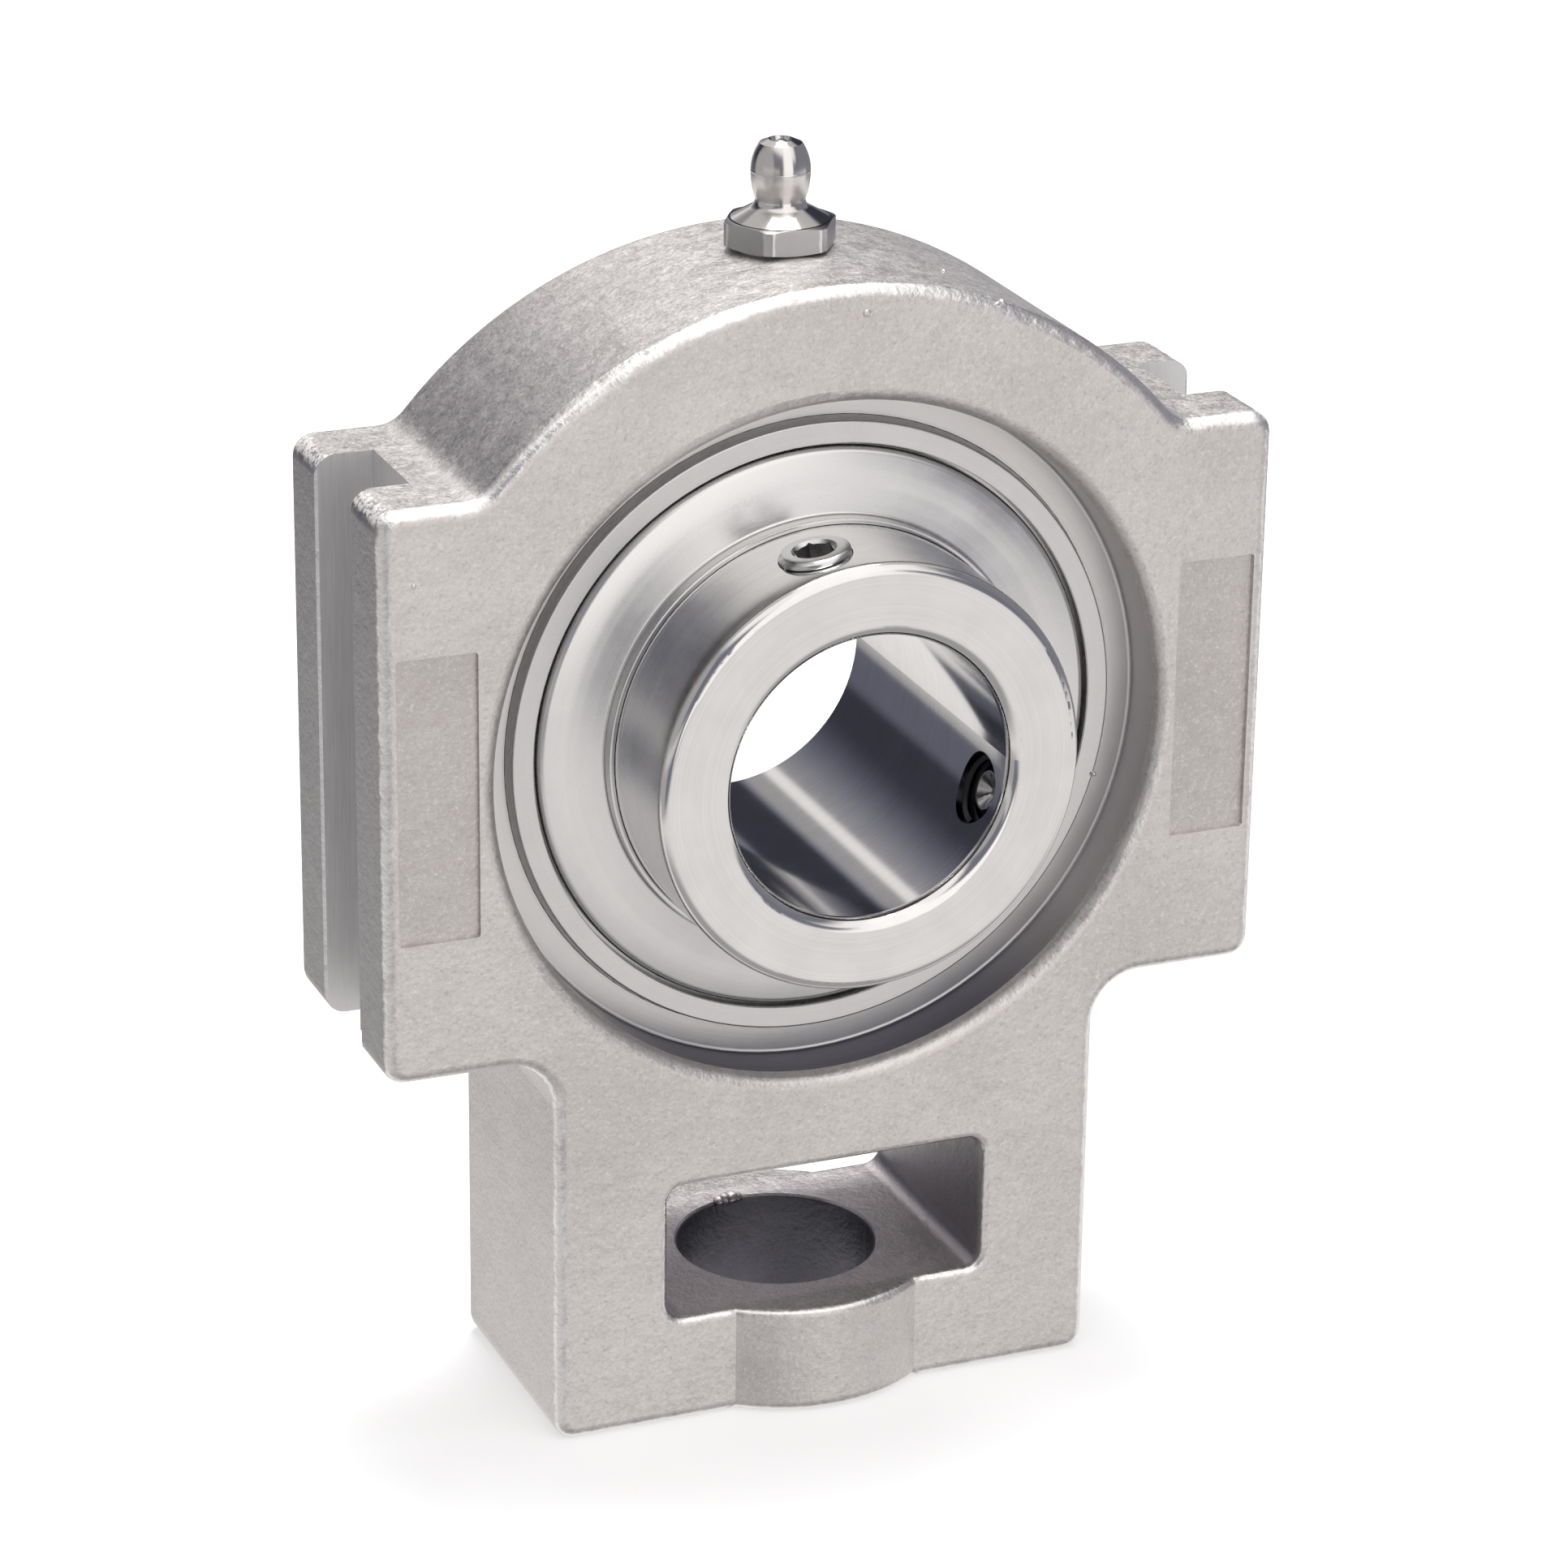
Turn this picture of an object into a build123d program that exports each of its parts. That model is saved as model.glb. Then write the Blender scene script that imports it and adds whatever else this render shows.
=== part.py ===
from build123d import *
import math
import os

# Take-up bearing unit: a cast stainless housing that slides on two rails, with a
# self-aligning insert ball bearing inside. Sizes are in millimetres.
# The origin is the centre of the bearing. The shaft lies along Y, the collar with the
# set screws faces -Y, the grease fitting points up (+Z) and the adjuster end points down.

CUT_PAST = 1.0                 # cutting shapes run this far past the metal

# Housing: outline seen from the front
HALF_WIDTH = 51.0              # across both rails 102
ARCH_RADIUS = 51.0             # round top, centred on the shaft
RAIL_HALF_LENGTH = 32.0        # rails are 64 long
TAIL_HALF_WIDTH = 32.0         # lower block is 64 wide
TAIL_END = 78.0                # shaft centre to the resting end
OUTER_CORNER = 2.4             # rounded outer corners of the outline
ARCH_FILLET = 4.0              # hollow corner between arch and rail top
TAIL_FILLET = 5.5              # hollow corner between rail and lower block

# Housing: thickness and edges
HALF_THICKNESS = 15.0          # housing is 30 thick
CAST_EDGE = 1.5                # rounding of the cast outer edges
BORE_EDGE = 1.6                # rounding where the face turns into the bore

# Rail grooves
GROOVE_BOTTOM = 44.5           # 89 between the two groove bottoms
GROOVE_HALF_WIDTH = 6.0        # grooves are 12 wide
GROOVE_EDGE = 0.3              # broken edge of the machined groove

# Window and adjuster end
END_BAR = 12.7                 # height of the bar below the window
WINDOW_HALF_WIDTH = 18.9
WINDOW_HEIGHT = 16.1
WINDOW_CORNER = 2.0
WINDOW_EDGE = 0.9
BOSS_RADIUS = 18.5             # round boss, 37 through front to back
ADJUSTER_HOLE_RADIUS = 11.2
ADJUSTER_HOLE_EDGE = 0.4

# Recessed name fields on the rails, left bare
FIELD_INNER = 40.3
FIELD_OUTER = 49.3
FIELD_HALF_HEIGHT = 16.0
FIELD_DEPTH = 0.5
FIELD_CORNER = 0.4

# Small casting chip at the foot of the left front flange
CHIP_SIZE = 1.0
CHIP_HEIGHT = -29.6

# Seat for the bearing
RING_RADIUS = 36.0             # ball-shaped outside of the bearing, 72 across
SEAT_CLEARANCE = 0.04
SEAT_RADIUS = RING_RADIUS + SEAT_CLEARANCE
SEAT_HALF_WIDTH = 8.0
COUNTERBORE_RADIUS = 38.3
COUNTERBORE_FILLET = 0.4
RING_HALF_WIDTH = 9.5          # outer ring is 19 wide
SLOT_CLEARANCE = 0.3           # room on each side of the ring in the loading slots
SLOT_REACH = SEAT_RADIUS + 0.25

# Grease way
FITTING_Y = 2.5                # fitting stands slightly behind the middle of the arch
FITTING_SHANK_RADIUS = 4.9
FITTING_HOLE_RADIUS = FITTING_SHANK_RADIUS + 0.05
FITTING_SHANK_LENGTH = 6.6
FITTING_HOLE_DEPTH = 8.0
GREASE_WAY_RADIUS = 2.0
SEAT_GROOVE_START = 2.9
SEAT_GROOVE_END = 7.7
SEAT_GROOVE_RADIUS = 36.6
RING_GROOVE_Y = 5.6
RING_GROOVE_WIDTH = 2.4
RING_GROOVE_RADIUS = 34.7
RING_HOLE_RADIUS = 0.8

# Balls and raceways
BALL_COUNT = 9
BALL_RADIUS = 5.556            # 7/16 inch balls
PITCH_RADIUS = 26.75
BALL_PLAY = 0.02               # radial play at each raceway
RACE_RADIUS = 5.72             # groove radius, slightly larger than the ball
INNER_RACE_CENTRE = PITCH_RADIUS - BALL_RADIUS - BALL_PLAY + RACE_RADIUS
OUTER_RACE_CENTRE = PITCH_RADIUS + BALL_RADIUS + BALL_PLAY - RACE_RADIUS

# Outer ring
OUTER_SHOULDER_RADIUS = 30.2
SEAL_SEAT_RADIUS = 31.4
SEAL_SEAT_START = 6.6
FLINGER_RECESS_RADIUS = 32.3
FLINGER_RECESS_START = 7.6
SNAP_GROOVE_RADIUS = 31.9
SNAP_GROOVE_WIDTH = 0.7
RING_CORNER = 0.25             # rounding of the outside corners
RING_EDGE = 0.12               # broken edge beside the flingers

# Inner ring
BORE_RADIUS = 15.875           # 1-1/4 inch shaft
COLLAR_RADIUS = 24.0
LAND_RADIUS = 23.6             # ground land under the seal lips
LAND_HALF_WIDTH = 8.6
FRONT_LENGTH = 25.4            # collar side
REAR_LENGTH = 17.5
COLLAR_EDGE = 1.1              # rounding of the collar's front edge
BORE_LIP = 1.4                 # rounding at the front end of the bore
REAR_EDGE = 0.8

# Set screws, 5/16 inch
SCREW_Y = -18.9
SCREW_ANGLES = (-10.5, 109.5)  # from straight up, turning towards +X
SCREW_RADIUS = 3.9
SCREW_HOLE_RADIUS = SCREW_RADIUS + 0.06
SCREW_LENGTH = 7.7
SCREW_TOP = 24.7               # screws are backed off, clear of the shaft
SCREW_CROWN = 0.7              # rounding of the top
SCREW_POINT_RADIUS = 2.15      # flat ring round the cup
SCREW_COUNTERSINK = 0.35
SOCKET_ACROSS = 3.97
SOCKET_TURN = 23.0
SOCKET_DEPTH = 3.4
SOCKET_MOUTH_RADIUS = 2.45
SOCKET_MOUTH_DEPTH = 0.35
CUP_RADIUS = 1.9
CUP_DEPTH = 1.0

# Cage, two pressed halves riveted together
CAGE_INNER = 24.5
CAGE_OUTER = 29.2
CAGE_SHEET = 0.9
POCKET_PLAY = 0.12
POCKET_RADIUS = BALL_RADIUS + POCKET_PLAY
RIVET_RADIUS = 0.9
RIVET_HOLE_RADIUS = RIVET_RADIUS + 0.04
RIVET_HEAD_RADIUS = 1.6
RIVET_HEAD_HEIGHT = 0.7
RIVET_HEAD_ROUND = 0.5

# Seals: rubber moulded against a steel plate
PLATE_INNER = 25.6
PLATE_OUTER = 30.9
PLATE_SHEET = 0.5
PLATE_Y = SEAL_SEAT_START + 0.05
RUBBER_SHEET = 0.4
LIP_PLAY = 0.04
LIP_INNER = LAND_RADIUS + LIP_PLAY
LIP_WIDTH = 0.7
LIP_LENGTH = 1.5
BEAD_PLAY = 0.02

# Flingers: pressed discs that turn with the inner ring
FLINGER_SHEET = 0.6
FLINGER_OUTER = 31.95
FLINGER_SKIRT_START = 8.2
FLINGER_RIM_Y = 9.5
FLINGER_DISH = 0.6
FLINGER_BEND = 0.7             # bend radius of the middle of the sheet
FLINGER_SLEEVE_END = 11.7

# Grease fitting, heights measured from the underside of the hexagon
HEX_ACROSS = 11.1
HEX_TURN = -2.6
HEX_BOTTOM = ARCH_RADIUS + 0.15
HEX_HEIGHT = 2.85
HEX_CORNER_RADIUS = 6.2        # corners are turned down
HEX_BEVEL_RADIUS = 5.5
HEX_BEVEL_HEIGHT = 0.2
FOOT_RADIUS = 5.3
FOOT_HEIGHT = 2.9
FLARE_RADIUS = 3.33            # where the hollow of the neck runs into the straight cone
FLARE_HEIGHT = 4.0
NECK_RADIUS = 2.7
NECK_HEIGHT = 4.95
HEAD_RADIUS = 3.22
HEAD_HEIGHT = 8.05
RIM_RADIUS = 2.3
RIM_HEIGHT = 11.0
CROWN_RADIUS = 1.35
CROWN_HEIGHT = 11.4
MOUTH_RADIUS = 0.95
MOUTH_HEIGHT = 10.9
SHANK_EDGE = 0.4
FITTING_WAY_RADIUS = 1.25
FITTING_BALL_RADIUS = 1.15
FITTING_SEAT_RADIUS = FITTING_BALL_RADIUS + 0.02
FITTING_BALL_HEIGHT = MOUTH_HEIGHT - math.sqrt(FITTING_SEAT_RADIUS**2 - MOUTH_RADIUS**2)
SPRING_WIRE_RADIUS = 0.14
SPRING_RADIUS = 0.85
SPRING_TURNS = 6
SPRING_PITCH = 0.85
SPRING_STEP_RADIUS = 0.7


# Helpers: sections are drawn with X as the radius and Y along the shaft

def band(inner, outer, start, end):
    """Rectangle between two radii and two places along the axis."""
    return Pos((inner + outer) / 2, (start + end) / 2) * Rectangle(outer - inner, end - start)


def corner(section, radius, along):
    """The corner of a section nearest to a place."""
    return section.vertices().sort_by_distance((radius, along, 0))[0]


def turned(section):
    """Solid of revolution about the shaft axis."""
    return revolve(section, Axis.Y)


def front_copy(shape):
    """A rear piece turned round to the front of the bearing."""
    return Rot(0, 0, 180) * shape


def upright(radius, bottom, top, y=0.0):
    """Vertical cylinder between two heights."""
    return Pos(0, y, (bottom + top) / 2) * Cylinder(radius, top - bottom)


def block(x_range, y_range, z_range):
    """Box between two places on each axis."""
    centre = [sum(pair) / 2 for pair in (x_range, y_range, z_range)]
    size = [pair[1] - pair[0] for pair in (x_range, y_range, z_range)]
    return Pos(*centre) * Box(*size)


# Housing

def housing_body():
    """Cast plate with arch, rails and lower block, all outer edges rounded."""
    arch_height = ARCH_RADIUS - RAIL_HALF_LENGTH
    above_rails = Pos(0, RAIL_HALF_LENGTH + arch_height / 2) * Rectangle(2 * ARCH_RADIUS, arch_height)
    arch = Circle(ARCH_RADIUS) & above_rails
    rails = Rectangle(2 * HALF_WIDTH, 2 * RAIL_HALF_LENGTH)
    tail = Pos(0, -TAIL_END / 2) * Rectangle(2 * TAIL_HALF_WIDTH, TAIL_END)
    outline = arch + rails + tail
    arch_meets_rail = math.sqrt(ARCH_RADIUS**2 - RAIL_HALF_LENGTH**2)
    arch_hollow = min(ARCH_FILLET, HALF_WIDTH - OUTER_CORNER - arch_meets_rail)
    tail_hollow = min(TAIL_FILLET, HALF_WIDTH - OUTER_CORNER - TAIL_HALF_WIDTH)
    for side in (-1, 1):
        outline = fillet(corner(outline, side * arch_meets_rail, RAIL_HALF_LENGTH), arch_hollow)
        outline = fillet(corner(outline, side * TAIL_HALF_WIDTH, -RAIL_HALF_LENGTH), tail_hollow)
        for x, z in (
            (HALF_WIDTH, RAIL_HALF_LENGTH),
            (HALF_WIDTH, -RAIL_HALF_LENGTH),
            (TAIL_HALF_WIDTH, -TAIL_END),
        ):
            outline = fillet(corner(outline, side * x, z), OUTER_CORNER)
    plate = extrude(Plane.XZ * outline, HALF_THICKNESS, both=True)
    faces = plate.faces().filter_by(Axis.Y)
    return fillet(faces.edges(), CAST_EDGE)


def adjuster_boss():
    """Round boss that thickens the end bar around the adjuster hole."""
    boss = upright(BOSS_RADIUS, -TAIL_END, END_BAR - TAIL_END)
    lower = boss.edges().filter_by(GeomType.CIRCLE).sort_by(Axis.Z)[0]
    return fillet(lower, CAST_EDGE)


def bore_cut():
    """Room for the bearing: ball-shaped seat with a counterbore on each side."""
    seat_edge = math.sqrt(SEAT_RADIUS**2 - SEAT_HALF_WIDTH**2)
    flare = COUNTERBORE_RADIUS + BORE_EDGE
    wall_end = HALF_THICKNESS - BORE_EDGE
    beyond = HALF_THICKNESS + CUT_PAST
    mid = BORE_EDGE * (1 - math.sqrt(0.5))
    path = Line((0, -beyond), (flare, -beyond))
    path += Line((flare, -beyond), (flare, -HALF_THICKNESS))
    path += ThreePointArc(
        (flare, -HALF_THICKNESS),
        (COUNTERBORE_RADIUS + mid, -HALF_THICKNESS + mid),
        (COUNTERBORE_RADIUS, -wall_end),
    )
    path += Line((COUNTERBORE_RADIUS, -wall_end), (COUNTERBORE_RADIUS, -SEAT_HALF_WIDTH))
    path += Line((COUNTERBORE_RADIUS, -SEAT_HALF_WIDTH), (seat_edge, -SEAT_HALF_WIDTH))
    path += ThreePointArc((seat_edge, -SEAT_HALF_WIDTH), (SEAT_RADIUS, 0), (seat_edge, SEAT_HALF_WIDTH))
    path += Line((seat_edge, SEAT_HALF_WIDTH), (COUNTERBORE_RADIUS, SEAT_HALF_WIDTH))
    path += Line((COUNTERBORE_RADIUS, SEAT_HALF_WIDTH), (COUNTERBORE_RADIUS, wall_end))
    path += ThreePointArc(
        (COUNTERBORE_RADIUS, wall_end),
        (COUNTERBORE_RADIUS + mid, HALF_THICKNESS - mid),
        (flare, HALF_THICKNESS),
    )
    path += Line((flare, HALF_THICKNESS), (flare, beyond))
    path += Line((flare, beyond), (0, beyond))
    path += Line((0, beyond), (0, -beyond))
    room = make_face(path)
    for along in (-SEAT_HALF_WIDTH, SEAT_HALF_WIDTH):
        room = fillet(corner(room, COUNTERBORE_RADIUS, along), COUNTERBORE_FILLET)
    return turned(room)


def loading_slots():
    """Two slots behind the seat through which the ring goes in edge first."""
    half = RING_HALF_WIDTH + SLOT_CLEARANCE
    return block((-SLOT_REACH, SLOT_REACH), (0, SEAT_HALF_WIDTH), (-half, half))


def grease_cuts():
    """Threaded hole, drilled way and ring-shaped channel that lead grease to the bearing."""
    hole = upright(FITTING_HOLE_RADIUS, ARCH_RADIUS - FITTING_HOLE_DEPTH, ARCH_RADIUS + CUT_PAST, FITTING_Y)
    way = upright(GREASE_WAY_RADIUS, PITCH_RADIUS, ARCH_RADIUS, FITTING_Y)
    channel = turned(band(PITCH_RADIUS, SEAT_GROOVE_RADIUS, SEAT_GROOVE_START, SEAT_GROOVE_END))
    return hole + way + channel


def rail_grooves():
    """Grooves that ride on the rails of a take-up frame."""
    reach = HALF_WIDTH + CUT_PAST
    tall = RAIL_HALF_LENGTH + CUT_PAST
    bevel = HALF_WIDTH - GROOVE_EDGE
    section = Pos((GROOVE_BOTTOM + reach) / 2, 0) * Rectangle(reach - GROOVE_BOTTOM, 2 * GROOVE_HALF_WIDTH)
    mouth = Polyline(
        (bevel, -GROOVE_HALF_WIDTH),
        (reach, -GROOVE_HALF_WIDTH - (reach - bevel)),
        (reach, GROOVE_HALF_WIDTH + (reach - bevel)),
        (bevel, GROOVE_HALF_WIDTH),
        close=True,
    )
    section += make_face(mouth)
    right = extrude(section, tall, both=True)
    return right + mirror(right, Plane.YZ)


def window_cut():
    """Window that gives access to the adjuster screw nut."""
    floor = END_BAR - TAIL_END
    opening = RectangleRounded(2 * WINDOW_HALF_WIDTH, WINDOW_HEIGHT, WINDOW_CORNER)
    reach = BOSS_RADIUS + CUT_PAST
    return extrude(Plane.XZ * Pos(0, floor + WINDOW_HEIGHT / 2) * opening, reach, both=True)


def name_fields():
    """Shallow bare fields on the front of both rails."""
    width = FIELD_OUTER - FIELD_INNER
    field = RectangleRounded(width, 2 * FIELD_HALF_HEIGHT, FIELD_CORNER)
    front = Plane.XZ.offset(HALF_THICKNESS - FIELD_DEPTH)
    centre = (FIELD_INNER + FIELD_OUTER) / 2
    fields = [extrude(front * Pos(side * centre, 0) * field, 2 * FIELD_DEPTH) for side in (-1, 1)]
    return fields[0] + fields[1]


def casting_chip():
    """Small chip out of the left front flange, as the photograph shows it."""
    place = Pos(-HALF_WIDTH, -GROOVE_HALF_WIDTH, CHIP_HEIGHT)
    return place * Rot(0, 0, 45) * Box(CHIP_SIZE, CHIP_SIZE, 2 * CHIP_SIZE)


def housing():
    """Cast and machined take-up housing."""
    body = housing_body() + adjuster_boss()
    body -= window_cut()
    floor = END_BAR - TAIL_END
    wall = HALF_THICKNESS + BOSS_RADIUS
    rim = [
        edge
        for edge in body.edges()
        if HALF_THICKNESS - 0.01 <= abs(edge.center().Y) <= wall
        and floor - 0.01 <= edge.center().Z <= floor + WINDOW_HEIGHT + 0.01
        and abs(edge.center().X) <= WINDOW_HALF_WIDTH + 0.01
        and abs(edge.bounding_box().size.Z) <= WINDOW_HEIGHT
    ]
    body = fillet(rim, WINDOW_EDGE)
    hole = upright(ADJUSTER_HOLE_RADIUS, -TAIL_END - CUT_PAST, floor + CUT_PAST)
    body -= hole
    rims = [
        edge
        for edge in body.edges().filter_by(GeomType.CIRCLE)
        if abs(edge.radius - ADJUSTER_HOLE_RADIUS) < 0.001
    ]
    body = chamfer(rims, ADJUSTER_HOLE_EDGE)
    for cut in (bore_cut(), loading_slots(), grease_cuts(), rail_grooves(), name_fields(), casting_chip()):
        body -= cut
    return body


# Bearing rings

def outer_ring():
    """Outer ring with ball-shaped outside, raceway, seal seats and grease groove."""
    section = band(OUTER_SHOULDER_RADIUS, RING_RADIUS, -RING_HALF_WIDTH, RING_HALF_WIDTH)
    section &= Circle(RING_RADIUS)
    section -= Pos(OUTER_RACE_CENTRE, 0) * Circle(RACE_RADIUS)
    inside = OUTER_SHOULDER_RADIUS - CUT_PAST
    beyond = RING_HALF_WIDTH + CUT_PAST
    for step in (
        band(inside, SEAL_SEAT_RADIUS, SEAL_SEAT_START, beyond),
        band(inside, SNAP_GROOVE_RADIUS, PLATE_Y, PLATE_Y + SNAP_GROOVE_WIDTH),
        band(inside, FLINGER_RECESS_RADIUS, FLINGER_RECESS_START, beyond),
    ):
        section -= step + mirror(step, Plane.XZ)
    section = section.faces().sort_by(SortBy.AREA)[-1]
    face_corner = math.sqrt(RING_RADIUS**2 - RING_HALF_WIDTH**2)
    for along in (-RING_HALF_WIDTH, RING_HALF_WIDTH):
        section = chamfer(corner(section, FLINGER_RECESS_RADIUS, along), RING_EDGE)
        section = fillet(corner(section, face_corner, along), RING_CORNER)
    half_groove = RING_GROOVE_WIDTH / 2
    section -= band(
        RING_GROOVE_RADIUS, RING_RADIUS + CUT_PAST, RING_GROOVE_Y - half_groove, RING_GROOVE_Y + half_groove
    )
    hole = upright(RING_HOLE_RADIUS, PITCH_RADIUS, RING_RADIUS, RING_GROOVE_Y)
    return turned(section) - hole


def inner_ring():
    """Wide inner ring with raceway, collar and two threaded holes."""
    section = band(BORE_RADIUS, COLLAR_RADIUS, -FRONT_LENGTH, REAR_LENGTH)
    section = fillet(corner(section, COLLAR_RADIUS, -FRONT_LENGTH), COLLAR_EDGE)
    section = fillet(corner(section, BORE_RADIUS, -FRONT_LENGTH), BORE_LIP)
    for radius in (COLLAR_RADIUS, BORE_RADIUS):
        section = chamfer(corner(section, radius, REAR_LENGTH), REAR_EDGE)
    section -= band(LAND_RADIUS, COLLAR_RADIUS + CUT_PAST, -LAND_HALF_WIDTH, LAND_HALF_WIDTH)
    section -= Pos(INNER_RACE_CENTRE, 0) * Circle(RACE_RADIUS)
    ring = turned(section)
    for angle in SCREW_ANGLES:
        hole = upright(SCREW_HOLE_RADIUS, BORE_RADIUS / 2, COLLAR_RADIUS + CUT_PAST)
        middle = SCREW_HOLE_RADIUS + SCREW_COUNTERSINK
        mouth = Pos(0, 0, COLLAR_RADIUS) * Cone(middle - CUT_PAST, middle + CUT_PAST, 2 * CUT_PAST)
        ring -= at_screw(angle) * (hole + mouth)
    return ring


# Balls and cage

def around(angle, radius=PITCH_RADIUS):
    """Place on a circle about the shaft, the angle turning from straight up towards +X."""
    turn = math.radians(angle)
    return Pos(radius * math.sin(turn), 0, radius * math.cos(turn))


def ball_angle(number):
    """Angle of one ball, counted from the top."""
    return number * 360 / BALL_COUNT


def ball(number):
    """One bearing ball."""
    return around(ball_angle(number)) * Sphere(BALL_RADIUS)


def cage_rear_half():
    """Pressed half cage with a cup for each ball and rivet holes between the cups."""
    reach = POCKET_RADIUS + CAGE_SHEET
    strip = turned(band(CAGE_INNER, CAGE_OUTER, 0, reach))
    half = turned(band(CAGE_INNER, CAGE_OUTER, 0, CAGE_SHEET))
    for number in range(BALL_COUNT):
        half += (around(ball_angle(number)) * Sphere(reach)) & strip
    for number in range(BALL_COUNT):
        half -= around(ball_angle(number)) * Sphere(POCKET_RADIUS)
        half -= around(ball_angle(number + 0.5)) * Rot(90, 0, 0) * Cylinder(RIVET_HOLE_RADIUS, 4 * CAGE_SHEET)
    return half


def cage_rivets():
    """Rivets that hold the two cage halves together, one between each pair of balls."""
    grip = 2 * CAGE_SHEET
    shank = Cylinder(RIVET_RADIUS, grip)
    head = Pos(0, 0, (grip + RIVET_HEAD_HEIGHT) / 2) * Cylinder(RIVET_HEAD_RADIUS, RIVET_HEAD_HEIGHT)
    head = fillet(head.edges().sort_by(Axis.Z)[-1], RIVET_HEAD_ROUND)
    rivet = Rot(90, 0, 0) * (shank + head + mirror(head, Plane.XY))
    return Compound(children=[around(ball_angle(n + 0.5)) * rivet for n in range(BALL_COUNT)])


# Seals and flingers

def rear_seal_plate():
    """Steel plate that stiffens the rear seal."""
    return turned(band(PLATE_INNER, PLATE_OUTER, PLATE_Y, PLATE_Y + PLATE_SHEET))


def rear_seal_rubber():
    """Rubber of the rear seal: skin over the plate, bead in the outer ring, lip on the land."""
    skin_start = PLATE_Y + PLATE_SHEET
    skin_end = skin_start + RUBBER_SHEET
    outer = SEAL_SEAT_RADIUS - BEAD_PLAY
    section = band(PLATE_INNER, PLATE_OUTER, skin_start, skin_end)
    section += band(PLATE_OUTER, outer, PLATE_Y, skin_end)
    bead_end = PLATE_Y + SNAP_GROOVE_WIDTH - BEAD_PLAY
    section += band(PLATE_OUTER, SNAP_GROOVE_RADIUS - BEAD_PLAY, PLATE_Y + BEAD_PLAY, bead_end)
    lip = Polyline(
        (PLATE_INNER, skin_end),
        (PLATE_INNER, PLATE_Y),
        (LIP_INNER + LIP_WIDTH, PLATE_Y),
        (LIP_INNER, skin_end - LIP_LENGTH),
        (LIP_INNER, skin_end - LIP_LENGTH + LIP_WIDTH),
        (LIP_INNER + LIP_WIDTH, skin_end),
        close=True,
    )
    section += make_face(lip)
    return turned(section)


def rear_flinger():
    """Pressed disc with a skirt at the rim and a sleeve that grips the inner ring."""
    half = FLINGER_SHEET / 2
    rim = FLINGER_OUTER - half
    sleeve = COLLAR_RADIUS + BEAD_PLAY + half
    centre_line = FilletPolyline(
        (rim, FLINGER_SKIRT_START),
        (rim, FLINGER_RIM_Y - half),
        (sleeve, FLINGER_RIM_Y - half + FLINGER_DISH),
        (sleeve, FLINGER_SLEEVE_END),
        radius=FLINGER_BEND,
    )
    return turned(make_face(offset(centre_line, half, side=Side.BOTH)))


# Set screws

def at_screw(angle):
    """Frame of one set screw: local Z runs out of the collar."""
    return Rot(0, angle, 0) * Pos(0, SCREW_Y, 0)


def rim(piece, place):
    """One of the round edges of an upright piece, counted from below."""
    return piece.edges().filter_by(GeomType.CIRCLE).sort_by(Axis.Z)[place]


def set_screw(angle):
    """Cup point set screw with a rounded top and a hexagon socket."""
    tip = SCREW_TOP - SCREW_LENGTH
    screw = upright(SCREW_RADIUS, tip, SCREW_TOP)
    screw = chamfer(rim(screw, 0), SCREW_RADIUS - SCREW_POINT_RADIUS)
    screw = fillet(rim(screw, -1), SCREW_CROWN)
    socket = RegularPolygon(SOCKET_ACROSS / 2, 6, major_radius=False, rotation=SOCKET_TURN)
    screw -= Pos(0, 0, SCREW_TOP - SOCKET_DEPTH) * extrude(socket, SOCKET_DEPTH + CUT_PAST)
    mouth = Cone(SOCKET_MOUTH_RADIUS - SOCKET_MOUTH_DEPTH, SOCKET_MOUTH_RADIUS, SOCKET_MOUTH_DEPTH)
    screw -= Pos(0, 0, SCREW_TOP - SOCKET_MOUTH_DEPTH / 2) * mouth
    screw -= Pos(0, 0, tip + CUP_DEPTH / 2) * Cone(CUP_RADIUS, CUP_RADIUS / 4, CUP_DEPTH)
    return at_screw(angle) * screw


# Grease fitting

def fitting_place(height=0.0):
    """Frame on the fitting axis, measured up from the underside of its hexagon."""
    return Pos(0, FITTING_Y, HEX_BOTTOM + height)


def spring_top():
    """Height of the middle of the wire where the spring touches the check ball."""
    touch = FITTING_BALL_RADIUS + SPRING_WIRE_RADIUS
    return FITTING_BALL_HEIGHT - math.sqrt(touch**2 - SPRING_RADIUS**2)


def spring_bottom():
    """Height of the middle of the wire on the step that carries the spring."""
    return spring_top() - SPRING_TURNS * SPRING_PITCH


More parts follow.
